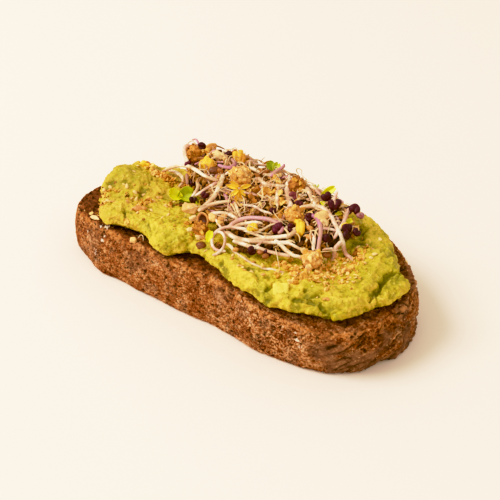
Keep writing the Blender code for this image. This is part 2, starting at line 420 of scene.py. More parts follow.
MASH_CELL = 0.8 * MM
MARK_LEVEL = 22.5  # mm: the marks fade out down to this height
CRUMB_LEVEL = 19  # mm: the crumb lies above this height
SHADE_REACH = 3 * MM  # how far from the spread the crumb is painted dark: painted shadow under its overhanging edge
RISE = 600  # how much paler the mash is painted for each metre that its lumps rise: painted light on the rises, painted shade in the hollows
KNIFE_MARKS = [  # depth (below 0 is a ridge) and width in mm, and places (x, y) along the mark
    (1.7, 0.6, [(67.6, 4.6), (65.6, 2.1), (64.6, -0.6), (64.9, -4.6), (66.1, -8.1), (66.1, -11.7),
        (66.3, -15.4)]),
    (0.6, 1.6, [(68.4, -1.5), (67.6, -6)]),
    (1.6, 1.4, [(44.5, 0.6), (46.4, 2.6), (49.5, 3.6)]),
    (1.4, 1.8, [(40, 20), (44, 16), (45, 10), (43.5, 5)]),
    (1.4, 0.6, [(42.3, -32.9), (45.9, -31.4), (48.3, -30.3), (52.4, -29), (55.5, -28.9), (57.4, -28.3)]),
    (1.2, 0.7, [(45, -27), (49, -25.6), (52, -24)]),
    (1.8, 0.8, [(32.6, -29.6), (33.1, -31.6), (32.4, -33.6)]),
    (1.2, 0.8, [(27, -31), (22, -28.5), (16, -28.8)]),
    (1.2, 0.8, [(7.9, -30.9), (10.7, -32), (13.2, -33.2)]),
    (1, 0.8, [(62.6, -18), (65.4, -16.4)]),
    (1.3, 0.35, [(-46.2, -26.6), (-43.8, -29.4), (-42.2, -31.3)]),
    (1, 1.1, [(-50.5, -9), (-48.5, -13.3), (-45.6, -16.7)]),
    (1.2, 0.6, [(-40.9, -20.1), (-38.5, -19.1)]),
    (0.9, 0.6, [(-36.8, -21.6), (-33.6, -20.3), (-29.7, -20.4)]),
    (1.2, 1.4, [(-64, -17.2), (-61.4, -15.4), (-57.3, -13)]),
    (0.9, 0.7, [(-53.4, -22.2), (-52.9, -22)]),
    (1.2, 1, [(-60.5, -16.2), (-58, -14.4), (-55, -13.2)]),
    (1.3, 0.8, [(46.8, -29.6), (49, -28.2), (50.6, -26.4)]),
    (1.3, 0.8, [(56.6, -28.6), (58.4, -26.8), (60.4, -25.8)]),
    (1.2, 0.9, [(33.6, -37.4), (34.8, -36), (36.6, -35)]),
    (1.2, 1.2, [(10, 30), (18, 27), (28, 28)]),
    (1.2, 1.2, [(-38, 22), (-30, 26), (-24, 25)]),
    (1.4, 1.1, [(56, 18), (60, 12), (59, 6)]),
    (-1, 1.8, [(58.2, 7.2), (59.4, 1.7), (60.6, -3.7), (62.6, -9.6), (62.2, -14.6)]),
    (-0.8, 1.4, [(55, -24.9), (59, -22.8), (62.3, -21), (64.1, -18.3)]),
    (-0.7, 1.3, [(69.6, -3.6), (71.6, 0.5), (73, 3)]),
    (-0.7, 1.8, [(50.4, -23.5), (52.9, -21.8), (55.8, -20.7)]),
    (-0.7, 1.6, [(-4, -27.6), (4, -29.4), (12, -29.6), (20, -31.6), (26, -33.4)]),
    (-0.6, 1.6, [(-40, -25), (-33, -26), (-27, -28), (-20, -29.5)]),
]
BULGES = [  # places (x, y), widths and how far the spread bulges there, in mm
    ((-19.5, -31), 7, (0, -3, 0)), ((-31, -32), 4.5, (0, 1.5, 0)), ((-54, -31), 6, (1, -3.4, 0)),
    ((-68, -12), 7, (-1.8, -1, 0)), ((-66, -19), 5, (-0.3, -0.2, 0)), ((68.5, 8), 4.5, (-1.4, -1, 0)),
    ((71.5, -6), 4.5, (1.2, -1.2, 0)), ((-54, 8.5), 5, (0, 0, -2.2)),
]
SHADE_AND_SMEARS = [  # places (x, y) and widths in mm of darker olive patches, and how strong each is: painted shade where stems, crumbs and folds shade the mash, and a few thin greener smears of spread
    ((68, 1), 3.2, 1), ((67.4, -4.8), 2.6, 0.8), ((62.5, 0), 5, 0.5), ((46, -33.5), 3, 0.7),
    ((53, -31.2), 2.8, 0.7), ((49.4, 13.4), 4.5, 0.4), ((46, 2.2), 3, 0.7), ((9, -22.5), 3.4, 1.3),
    ((2, -24.8), 2.2, 1.3), ((-2.2, -26.6), 2.6, 0.8), ((-18.4, -17.8), 1.8, 0.6),
    ((48.8, -28.3), 2.2, 0.8), ((58.2, -27.2), 2.4, 0.8), ((34.7, -36.4), 2.2, 0.8), ((-29.1, -10.9), 3, 1),
    ((-58.5, -14.8), 3.4, 1), ((44.1, 16.7), 3.5, 0.5), ((56, 12), 3, 0.5), ((52, -20.5), 4, 0.4),
    ((-57, -11), 5, 0.6), ((-47.1, -14.2), 2.6, 1), ((-66, -8), 4, 0.4), ((-62.5, -16.2), 3, 1),
    ((-58, -13.8), 3, 0.9), ((-59.2, -8.7), 4.5, 0.8), ((-50.1, -6.2), 4, 0.6), ((-47, -15), 3, 1),
    ((-62.5, -12), 2.4, 0.8), ((-24, -20), 3.5, 0.5), ((-50.7, -21.7), 2, 0.5), ((31.4, -35.7), 2, 0.4),
    ((2, -26.6), 3, 0.4),
]


def surface_of(*objects):
    """A search tree over the meshes, to find what lies near them."""
    points, faces = [], []
    for obj in objects:
        count = len(points)
        points += [v.co.copy() for v in obj.data.vertices]
        faces += [[count + i for i in p.vertices] for p in obj.data.polygons]
    return BVHTree.FromPolygons(points, faces)


def scored(mesh, marks, shaded_patches):
    """The mesh with each mark in it. How deep a point lies in one, and how much the patches of painted
    shade and smear darken it, are kept on it.
    """
    places = coordinates(mesh)
    flat, (pressed, pulled, dull) = places[:, :2] / MM, np.zeros((3, len(places)))
    for depth, width, line in marks:
        near = np.zeros(len(places))
        for first, last in zip(line, line[1:]):
            run = np.subtract(last, first)
            share = np.clip((flat - first) @ run / (run @ run), 0, 1)
            away = np.linalg.norm(flat - first - share[:, None] * run, axis=1)
            near = np.maximum(near, np.exp(-(away / width) ** 2))
        pressed, pulled = np.maximum(pressed, depth * near), np.maximum(pulled, -depth * near)
    for at, width, strength in shaded_patches:
        dull = np.maximum(dull, strength * np.exp(-(np.linalg.norm(flat - at, axis=1) / width) ** 2))
    mark = (pressed - pulled) * np.clip((places[:, 2] / MM - MARK_LEVEL) / 2, 0, 1)
    places[:, 2] -= mark * MM
    mesh.vertices.foreach_set("co", places.ravel())
    keep(mesh, "mark", mark)
    keep(mesh, "dull", dull)
    return mesh


def mash_relief(shape, size):
    place = shape.add("GeometryNodeInputPosition")
    up = shape.add("GeometryNodeInputNormal").part("Z")
    level = place.part("Z")
    lip = (1 - level.step(0.023, 0.0246)) * (1 - up.step(0.2, 0.6))
    edge = (1 - level.step(0.025, 0.0275)) * (1 - up.step(0.5, 0.8))
    lobes = place.times((1, 1, 0.3)).warped(3, 2).grain(4.2, 2, 0.6) - 0.5
    lumps = place.warped(6, 5).cells(6.5, "SMOOTH_F1")
    folds = (1 - abs(place.warped(9, 9).grain(11, 1) - 0.5) * 12).max(0)
    soft = place.warped(3, 3).grain(3.6, 3, 0.55) - 0.5
    curd = place.warped(1.5, 1.5).cells(2.1, "SMOOTH_F1")
    fibre = place.grain(1.2, 3, 0.6) - 0.5
    height = (0.45 - lumps) * size["Lump"] - folds * size["Fold"] + soft * size["Softness"]
    height = height + (0.4 - curd) * size["Curd"] + fibre * size["Fibre"]
    # Painted light and shade: the relief's height, lowered in the marks, is kept as rise so the mash is
    # painted paler on its rises and darker in its hollows and creases.
    shape = stored(shape, "rise", height * RISE - named(shape, "mark") * 0.45)
    height = height + edge * lobes * size["Lobe"] - lip * size["Undercut"]
    return raised(shape, height * up.step(-0.9, -0.2))


def mash_colours(place):
    rise, shade_patch = attribute(place, "rise"), attribute(place, "dull")
    broad = place.warped(8, 6).grain(7)
    middle = place.warped(3, 3).grain(2.6, 3, 0.65)
    fine = place.grain(0.8, 2, 0.6)
    # Painted light: the mash is painted lighter towards its front, which faces the light, and lighter still
    # on the front's rises.
    front = place.part("Y").step(-0.008, -0.026)
    # browner in patches towards the left end
    left_tint = place.part("X").step(-0.03, -0.042) * middle.step(0.38, 0.56)
    curd = 1 - place.plus((0.03, 0.01, 0)).warped(1.5, 1.2).cells(2.6).step(0.2, 0.42)
    speck = (1 - place.cells(3.1).step(0.07, 0.12)) * place.grain(8, 1).step(0.42, 0.5)
    # Painted light and shade: paler where the relief rises, darker olive where it sinks.
    height = rise * 0.55 + middle * 1.8 + fine * 0.9 - shade_patch * 0.3
    stops = (0, (0.31, 0.258, 0.005)), (0.5, (0.54, 0.408, 0.022)), (1, (0.78, 0.51, 0.07))
    green = painted(
        height.step(0.65, 1.8).ramp(*stops),
        (broad.step(0.48, 0.62) * 0.55, (0.4, 0.345, 0.011)),
        ((1 - broad.step(0.34, 0.46)) * 0.35, front.blend((0.6, 0.47, 0.03), (0.82, 0.56, 0.06))),
        (left_tint * 0.5, (0.55, 0.33, 0.045)),
        (front * height.step(0.9, 1.8) * 0.25, (0.86, 0.61, 0.09)),
        # painted shade and smears: darker olive patches where stems, crumbs and folds shade the mash
        (shade_patch * 0.55, (0.32, 0.27, 0.01)),
        # painted shade, near-black olive, deep in the marks' creases
        ((1 - rise.step(-1, -0.2)) * 0.65, (0.12, 0.106, 0.002)),
        (curd * fine.step(0.42, 0.6) * 0.4, (0.9, 0.66, 0.16)),
        (speck * 0.8, (0.08, 0.05, 0.01)),
    )
    uneven = bumped(fine * 0.6 + middle * 0.4 + curd * 0.3, 0.6)
    return {**textured(green, fine, 0.42, 0.3), "Normal": uneven}


spread_shape = dense_copy("avocado_mash", MASH_CELL, 10, lambda centre, normal: normal.z > -0.3)
mash = grow(
    "avocado_spread",
    scored(pushed(spread_shape, BULGES), KNIFE_MARKS, SHADE_AND_SMEARS),
    {"Lump": 0.8, "Fold": 0.65, "Softness": 2.4, "Curd": 0.65, "Fibre": 1.25,
     "Lobe": 3, "Undercut": 2},
    mash_relief,
    finish(
        "avocado", mash_colours, Subsurface_Weight=0.06, Subsurface_Radius=(1, 0.9, 0.1),
        Subsurface_Scale=1.2 * MM, Specular_IOR_Level=0.35,
    ),
)
spread = surface_of(mash)
# Painted shadow: the crumb near the spread is darkened, as if in the shade under its overhanging edge.
damp = np.zeros(len(places), np.float32)
for index in np.nonzero(places[:, 2] > CRUMB_LEVEL)[0]:
    away = spread.find_nearest(Vector(places[index]) * MM)[3]
    damp[index] = max(0, 1 - away / SHADE_REACH)
keep(bread.data, "damp", damp)
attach(mash, "root")
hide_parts("avocado_mash")


# --- Avocado cubes ---
# Firmer pieces of the fruit that the fork missed, pale and soft-cornered, half sunk in the front of
# the mash. Each is a knife-cut block with slumped sides.


DROP_HEIGHT = 0.2  # above everything


def rest_on(surface, x, y):
    """Where a drop at (x, y) meets the surface, and the way up there. Nothing below gives None."""
    place, up, _, _ = surface.ray_cast(Vector((x, y, DROP_HEIGHT)), Vector((0, 0, -1)))
    return (place, up) if place else None


def ball(level):
    """Points on a unit ball as an array, and its triangles."""
    shape = bmesh.new()
    bmesh.ops.create_icosphere(shape, subdivisions=level, radius=1)
    points = np.array([v.co for v in shape.verts])
    faces = [[v.index for v in f.verts] for f in shape.faces]
    shape.free()
    return points, faces


def posed(points, at, turn=(0, 0, 0), size=(1, 1, 1)):
    """The points scaled, turned by angles in degrees and moved to a place in millimetres."""
    matrix = np.array(Euler([math.radians(a) for a in turn]).to_matrix())
    return (points * np.array(size) * MM) @ matrix.T + np.array(at) * MM


def joined(name, parts, material):
    """One piece from (points, faces, tone) parts. The tone is kept on the points for the material."""
    points, faces, tones = [], [], []
    for part_points, part_faces, tone in parts:
        count = len(points)
        points += list(map(tuple, part_points))
        faces += [[count + i for i in face] for face in part_faces]
        tones += list(np.broadcast_to(tone, len(part_points)))
    mesh = bpy.data.meshes.new(name)
    mesh.from_pydata(points, [], faces)
    keep(mesh, "tone", tones)
    mesh.shade_smooth()
    mesh.materials.append(material)
    return linked(name, mesh)


def lumpy(points, size, by, seed):
    """Points on a shape, each pushed outwards or inwards by noise."""
    shift = Vector((seed * 7.3, seed * 3.1, seed * 5.7))
    push = [1 + by * noise.noise(Vector(p) / size + shift) for p in points]
    return points * np.array(push)[:, None]


def cube_colours(place):
    soft = place.grain(2.2, 3, 0.6)
    firm = soft.step(0.4, 0.66).blend((0.88, 0.69, 0.15), (0.76, 0.58, 0.085))
    green = soft.step(0.4, 0.6).blend((0.56, 0.42, 0.025), (0.38, 0.33, 0.012))
    return textured(attribute(place, "tone").blend(green, firm), soft, 0.3, 0.25, 0.25)


AVOCADO_CUBES = [  # place, turn, half sizes and paleness
    ((36.6, -30.7, 28.7), (46, -2, 35), (3.1, 2.5, 2.6), 1),
    ((60.8, -26.8, 25.6), (42, 4, 50), (2.7, 1.8, 2), 0),
    ((-6, 31, 26), (-40, 10, 20), (2.6, 2.2, 2.4), 0.6),
]
round_points, round_faces = ball(4)
cubes = []
for index, (at, turn, size, tone) in enumerate(AVOCADO_CUBES):
    blocky = np.sign(round_points) * np.abs(round_points) ** (0.9 - 0.62 * tone)
    blocky = lumpy(blocky, 0.8 + 0.1 * tone, 0.6 - 0.52 * tone, index + 1)
    cubes.append((posed(blocky, at, turn, size), round_faces, tone))
avocado_cubes = joined(
    "avocado_cubes", cubes,
    finish("firm avocado", cube_colours, Subsurface_Weight=0.12, Subsurface_Radius=(1, 0.8, 0.2),
           Subsurface_Scale=1.5 * MM, Specular_IOR_Level=0.35),
)
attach(avocado_cubes, "root")


# --- Core of the heap ---
# Toasted crumbs and flakes packed between the sprouts. This is the heap's own body, a little smaller
# than the heap, so that the stems, hulls and crumbs on it make the real outline.

CORE_CELL = 0.8 * MM
CORE_SHARE = (0.9, 0.74)  # its length and width, as shares of the heap's
CORE_SHIFT = Vector((0.5, 2.2, -3)) * MM

heap_low, heap_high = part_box("sprout_heap")
heap_middle = (heap_low + heap_high) / 2
core_mesh = dense_copy("sprout_heap", CORE_CELL, 4)
for vertex in core_mesh.vertices:
    vertex.co.x = heap_middle.x + (vertex.co.x - heap_middle.x) * CORE_SHARE[0]
    vertex.co.y = heap_middle.y + (vertex.co.y - heap_middle.y) * CORE_SHARE[1]
    vertex.co += CORE_SHIFT


def core_relief(shape, size):
    place = shape.add("GeometryNodeInputPosition")
    clods = place.warped(3, 2).cells(3.2)
    grit = place.grain(1.3, 2, 0.6)
    # Painted shade: the hollows between the clods are kept as deep, to be painted near-black.
    shape = stored(shape, "deep", clods.step(0.2, 0.7))
    return raised(shape, (0.4 - clods) * size["Clod"] + (grit - 0.5) * size["Grit"])


def core_colours(place):
    grit = place.grain(0.7, 3, 0.7)
    brown = painted(
        grit.step(0.35, 0.65).blend((0.06, 0.017, 0.005), (0.3, 0.11, 0.026)),
        (place.grain(4, 2, 0.6).step(0.54, 0.64) * 0.7, (0.12, 0.09, 0.008)),
        # painted shade, near-black in the hollows between the clods
        (attribute(place, "deep"), (0.022, 0.01, 0.005)),
    )
    return textured(brown, grit, 0.7, 0.2, 0.4)


core = grow(
    "heap_core", core_mesh, {"Clod": 1.6, "Grit": 0.7}, core_relief,
    finish("packed crumbs", core_colours),
)
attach(core, "root")
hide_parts("sprout_heap")

heap_skin = surface_of(frame["nodes"]["sprout_heap"], mash)
core_skin = surface_of(core, mash)
mash_skin = surface_of(mash, bread)


# --- Crunchy clusters ---
# Knobs of oats, seeds and syrup baked hard, as large as berries. Each is a clod of grains that
# differ in browning, with a few grains standing out of it.

CLUSTER_CELL = 0.36 * MM
CLUSTER_TONES = {  # 0 is pale oat, 1 is dark syrup
    "cluster_crest": 0.3,
    "cluster_left": 0.6,
    "cluster_back": 0.68,
    "cluster_middle": 0.42,
    "cluster_front": 0.28,
    "cluster_edge": 0.6,
}


def cluster_relief(shape, size):
    place = shape.add("GeometryNodeInputPosition")
    grains = place.warped(1.6, 1.6).cells(2)
    grit = place.grain(1.1, 4, 0.7)
    bulk = place.grain(3.4, 1, 0.5) - 0.5
    shape = stored(shape, "seam", grains.step(0.45, 0.8))
    height = (0.42 - grains) * size["Grain"] + (grit - 0.5) * size["Grit"] + bulk * size["Bulk"]
    return raised(shape, height)


def cluster_colours(place):
    patch, grit = place.grain(2.6, 2, 0.6), place.grain(0.7, 3, 0.75)
    shade = attribute(place, "tone") + (patch - 0.5) * 0.9 + (grit - 0.5) * 0.7
    colour = shade.ramp(
        (0, (0.96, 0.65, 0.32)), (0.25, (0.88, 0.48, 0.16)), (0.5, (0.72, 0.3, 0.05)),
        (0.75, (0.36, 0.112, 0.02)), (1, (0.1, 0.024, 0.005)),
    )
    colour = (attribute(place, "seam") * 0.45).blend(colour, (0.18, 0.05, 0.008))
    return textured(colour, grit, 0.55, 0.3, 0.35)


cluster_finish = finish("baked clusters", cluster_colours, Specular_IOR_Level=0.35)
gathered = bmesh.new()
for node, tone in CLUSTER_TONES.items():
    sizes = {"Grain": 1.1, "Grit": 1.5, "Bulk": 1.6}
    clod = grow(node + "_clod", dense_copy(node, CLUSTER_CELL, 2), sizes, cluster_relief, cluster_finish)
    keep(clod.data, "tone", np.full(len(clod.data.vertices), tone))
    gathered.from_mesh(clod.data)
    drop(clod)
cluster_mesh = bpy.data.meshes.new("crunchy_clusters")
gathered.to_mesh(cluster_mesh)
gathered.free()
cluster_mesh.materials.append(cluster_finish)
cluster_mesh.shade_smooth()
clusters = linked("crunchy_clusters", cluster_mesh)
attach(clusters, "root")
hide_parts(*CLUSTER_TONES)


# --- Crumbs in the heap and on the mash ---
# Broken toast and granola from dust-fine bits to flakes of 4 mm. They fill the heap between its
# stems, and lie in a band in front of it, in a streak behind the tall dollop and singly elsewhere.

BROKEN, CURLED, SHREDDED = 5, 4, 3  # how many shapes there are of each kind


def crumb_shapes():
    """Broken crumbs, then curled flakes and shreds, each reaching about one unit from its middle."""
    points, faces = ball(2)
    shapes = []
    for index in range(BROKEN + CURLED + SHREDDED):
        form = lumpy(points, 0.8, 0.9, index + 10)
        if index < BROKEN:
            form = form * np.array((1, 0.75, 0.62))
        elif index < BROKEN + CURLED:
            form = form * np.array((1.15, 0.85, 0.2))
            form[:, 2] += 0.35 * form[:, 0] ** 2 - 0.12 * form[:, 1]
        else:
            form = form * np.array((1.5, 0.3, 0.24))
            form[:, 1] += 0.3 * form[:, 0] ** 2
        shapes.append((form, faces))
    return shapes


def scattered(name, shapes, spots, material, smooth=False):
    """One piece with a shape set down at each spot: place, turn, size, which shape, and tone."""
    kinds = bpy.data.collections.new(name + "_shapes")
    for index, (points, faces) in enumerate(shapes):
        mesh = bpy.data.meshes.new(f"{name}_shape_{index:02d}")
        mesh.from_pydata([tuple(p) for p in points], [], faces)
        if smooth:
            mesh.shade_smooth()
        kinds.objects.link(bpy.data.objects.new(mesh.name, mesh))
    places = bpy.data.meshes.new(name + "_places")
    places.from_pydata([tuple(s[0]) for s in spots], [], [])
    columns = ("turn", "FLOAT_VECTOR"), ("size", "FLOAT_VECTOR"), ("pick", "INT"), ("tone", "FLOAT")
    for column, (label, kind) in enumerate(columns, 1):
        values = np.array([s[column] for s in spots], np.int32 if kind == "INT" else np.float32).ravel()
        field = "vector" if kind == "FLOAT_VECTOR" else "value"
        places.attributes.new(label, kind, "POINT").data.foreach_set(field, values)

    def set_down(shape, size):
        values = {"Collection": kinds, "Separate Children": True, "Reset Children": True}
        things = shape.add("GeometryNodeCollectionInfo", {}, values)
        return shape.add("GeometryNodeInstanceOnPoints", {}, {
            "Points": shape, "Instance": things, "Pick Instance": True,
            "Instance Index": named(shape, "pick", "INT"),
            "Rotation": named(shape, "turn", "FLOAT_VECTOR"),
            "Scale": named(shape, "size", "FLOAT_VECTOR").scaled(size["Scale"]),
        })

    made = grow(name, places, {"Scale": 1}, set_down, material)
    for thing in list(kinds.objects):
        drop(thing)
    bpy.data.collections.remove(kinds)
    return made


def any_turn(dice):
    return tuple(dice.uniform(0, 2 * math.pi) for _ in range(3))


def lying(up, dice, wobble):
    """The turn of a flat thing that lies along a surface, spun at random and tipped a little."""
    spin = Matrix.Rotation(dice.uniform(0, 2 * math.pi), 3, "Z")
    tip = Euler((dice.gauss(0, wobble), dice.gauss(0, wobble), 0)).to_matrix()
    return tuple((up.to_track_quat("Z", "Y").to_matrix() @ tip @ spin).to_euler())


def crumb_colours(place):
    grit = place.grain(0.8, 2, 0.6)
    colour = (attribute(place, "tone") + (grit - 0.5) * 0.5).ramp(
        (0, (0.98, 0.68, 0.3)), (0.25, (0.9, 0.54, 0.14)), (0.5, (0.72, 0.36, 0.055)),
        (0.75, (0.45, 0.175, 0.018)), (1, (0.13, 0.034, 0.004)),
    )
    return textured(colour, grit, 0.6, 0.3, 0.2)


dice = random.Random(11)
crumb_spots = []


def some_width(low, high):
    """Half of a crumb's width in mm. Most crumbs are near the low end."""
    return (low + (high - low) * dice.random() ** 2) * 0.5


def some_kind(broken, curled, shredded):
    """Which crumb shape it is, from the weights of the three kinds."""
    weights = [broken] * BROKEN + [curled] * CURLED + [shredded] * SHREDDED
    return dice.choices(range(len(weights)), weights)[0]


def drop_crumbs(count, spot, size, tones, surface, lift, kinds=(5, 4, 2)):
    """Crumbs at the places that spot() gives, raised off the surface by a share of their width."""
    for _ in range(count):
        x, y = spot()
        found = rest_on(surface, x * MM, y * MM)
        if not found or found[1].z < 0.15:
            continue
        place, up = found
        width, kind = some_width(*size), some_kind(*kinds)
        turn = any_turn(dice) if kind < BROKEN else lying(up, dice, 0.5)
        crumb_spots.append((place + up * width * MM * lift, turn, (width,) * 3, kind, dice.uniform(*tones)))


def on_heap(x, y):
    """Whether the heap's core is there, and not just the mash around it."""
    found, under = rest_on(core_skin, x, y), rest_on(mash_skin, x, y)
    return bool(found and under and found[0].z > under[0].z + 0.5 * MM)


def in_heap():
    while True:
        x, y = dice.uniform(heap_low.x, heap_high.x), dice.uniform(heap_low.y, heap_high.y)
        if on_heap(x, y):
            return x / MM, y / MM


def around(x, y, spread_x, spread_y):
    return lambda: (dice.gauss(x, spread_x), dice.gauss(y, spread_y))


drop_crumbs(600, in_heap, (1.2, 3.4), (0.1, 1.2), core_skin, 0.4)
drop_crumbs(270, around(4, 4, 11, 7), (1.2, 4), (0, 1.05), core_skin, 1.2, (3, 5, 4))
drop_crumbs(80, around(-31, 10, 5, 5), (1.2, 3.6), (0.1, 0.9), core_skin, 1.2)
# Some of these small heaps of dark crumbs also stand for the shade in the gaps round the stems, leaves and
# nuts: painted shade.
drop_crumbs(12, around(2, -24.8, 1.3, 1.1), (1.2, 2.6), (0.5, 1.1), mash_skin, 0.5)
drop_crumbs(14, around(9, -21.4, 2, 0.7), (1.4, 2.8), (0.85, 1.2), mash_skin, 1.2)
drop_crumbs(14, around(31, -6.4, 1.4, 1.4), (1.4, 2.8), (0.85, 1.2), core_skin, 0.9)
drop_crumbs(20, around(-0.8, 0.6, 1.8, 1.8), (1.6, 3.2), (0.75, 1.15), core_skin, 1.8)
drop_crumbs(8, around(-17, -18.6, 1.6, 0.8), (1.2, 2.4), (0.4, 1), mash_skin, 0.4)
drop_crumbs(8, around(46, 2, 1.6, 2.2), (1, 2.4), (0.3, 0.9), mash_skin, 0.4)
drop_crumbs(8, around(-28.8, -11.2, 0.9, 0.7), (1.4, 2.6), (0.7, 1.1), mash_skin, 0.5)
# Grains that stick to the clusters, but not on top of the crest.
GRAINS, GRAIN_TOP = 130, 45.8 * MM
grainy = [face for face in clusters.data.polygons if face.normal.z > -0.2 and face.center.z < GRAIN_TOP]
for face in dice.sample(grainy, GRAINS):
    width = some_width(1, 2.6)
    tone = clusters.data.attributes["tone"].data[face.vertices[0]].value + dice.uniform(-0.25, 0.25)
    kind = some_kind(4, 3, 1)
    place = face.center + face.normal * width * MM * 0.3
    crumb_spots.append((place, any_turn(dice), (width,) * 3, kind, tone))
# The band of crumbs in front of the heap, towards the wide end.
drop_crumbs(210, around(44, -13, 5.5, 5.5), (0.8, 2.4), (0.05, 0.65), spread, 0.35, (4, 5, 2))
drop_crumbs(100, around(37, -20, 5, 3), (0.6, 3), (0.05, 0.6), spread, 0.35, (4, 5, 3))
drop_crumbs(50, around(50.4, 1.5, 1.8, 5), (0.9, 2.4), (0.15, 0.75), spread, 0.35)
# The streak behind the tall dollop, a few in front of it, and strays.
drop_crumbs(90, around(-48.5, 0.8, 4.2, 0.9), (1, 3.2), (0.1, 0.85), mash_skin, 0.4)
drop_crumbs(12, around(-44, -11, 6, 1.5), (0.6, 1.6), (0.2, 0.7), mash_skin, 0.35)
drop_crumbs(44, around(-47, -20, 8, 2.4), (0.6, 1.8), (0.25, 1.05), mash_skin, 0.35)
drop_crumbs(24, around(-60, -22.5, 3, 3), (0.6, 1.7), (0.2, 1), mash_skin, 0.35)
drop_crumbs(7, around(-41.8, -17.8, 1, 0.8), (1.2, 2.6), (0.2, 0.8), mash_skin, 0.5)
drop_crumbs(4, around(-33, -14.2, 0.8, 0.6), (1.2, 2.2), (0.2, 0.8), mash_skin, 0.5)
drop_crumbs(26, around(-9, -22, 4, 2), (0.8, 2.4), (0.1, 0.7), mash_skin, 0.4)
drop_crumbs(
    55, lambda: (dice.uniform(-64, 66), dice.uniform(-30, 30)), (0.5, 1.5), (0.1, 0.9), mash_skin, 0.3,
)
drop_crumbs(16, around(-60, -29.5, 2.2, 1.4), (0.6, 1.6), (0.05, 0.5), mash_skin, 0.35)
drop_crumbs(36, around(-34.6, 1.6, 1.6, 1.8), (1.2, 2.8), (0.3, 0.9), core_skin, 0.9)
drop_crumbs(5, around(-41.5, -30.8, 1.4, 0.5), (1.4, 2.2), (0.1, 0.4), mash_skin, 0.5)


def far_side(count):
    """Places on the steep far side of the heap's core, with the way out of the heap there."""
    points, steep, spots = core.data.vertices, [], []
    for face in core.data.polygons:
        way = face.normal
        if way.z < 0.75 and (way.y > 0.1 or (way.x < -0.6 and face.center.y > heap_middle.y)):
            steep.append(face)
    while len(spots) < count:
        face = dice.choice(steep)
        place, under = points[face.vertices[0]].co.copy(), rest_on(mash_skin, face.center.x, face.center.y)
        if not under or place.z > under[0].z - 0.5 * MM:
            spots.append((place, face.normal.copy()))
    return spots


for place, up in far_side(620):
    width, kind = some_width(1.2, 3.8), some_kind(4, 5, 3)
    lift = up * dice.uniform(0, 2.2) * width * MM
    crumb_spots.append((place + lift, lying(up, dice, 0.6), (width,) * 3, kind, dice.uniform(0.05, 0.9)))
crumbs = scattered("toast_crumbs", crumb_shapes(), crumb_spots, finish("toasted crumbs", crumb_colours))
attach(crumbs, "root")
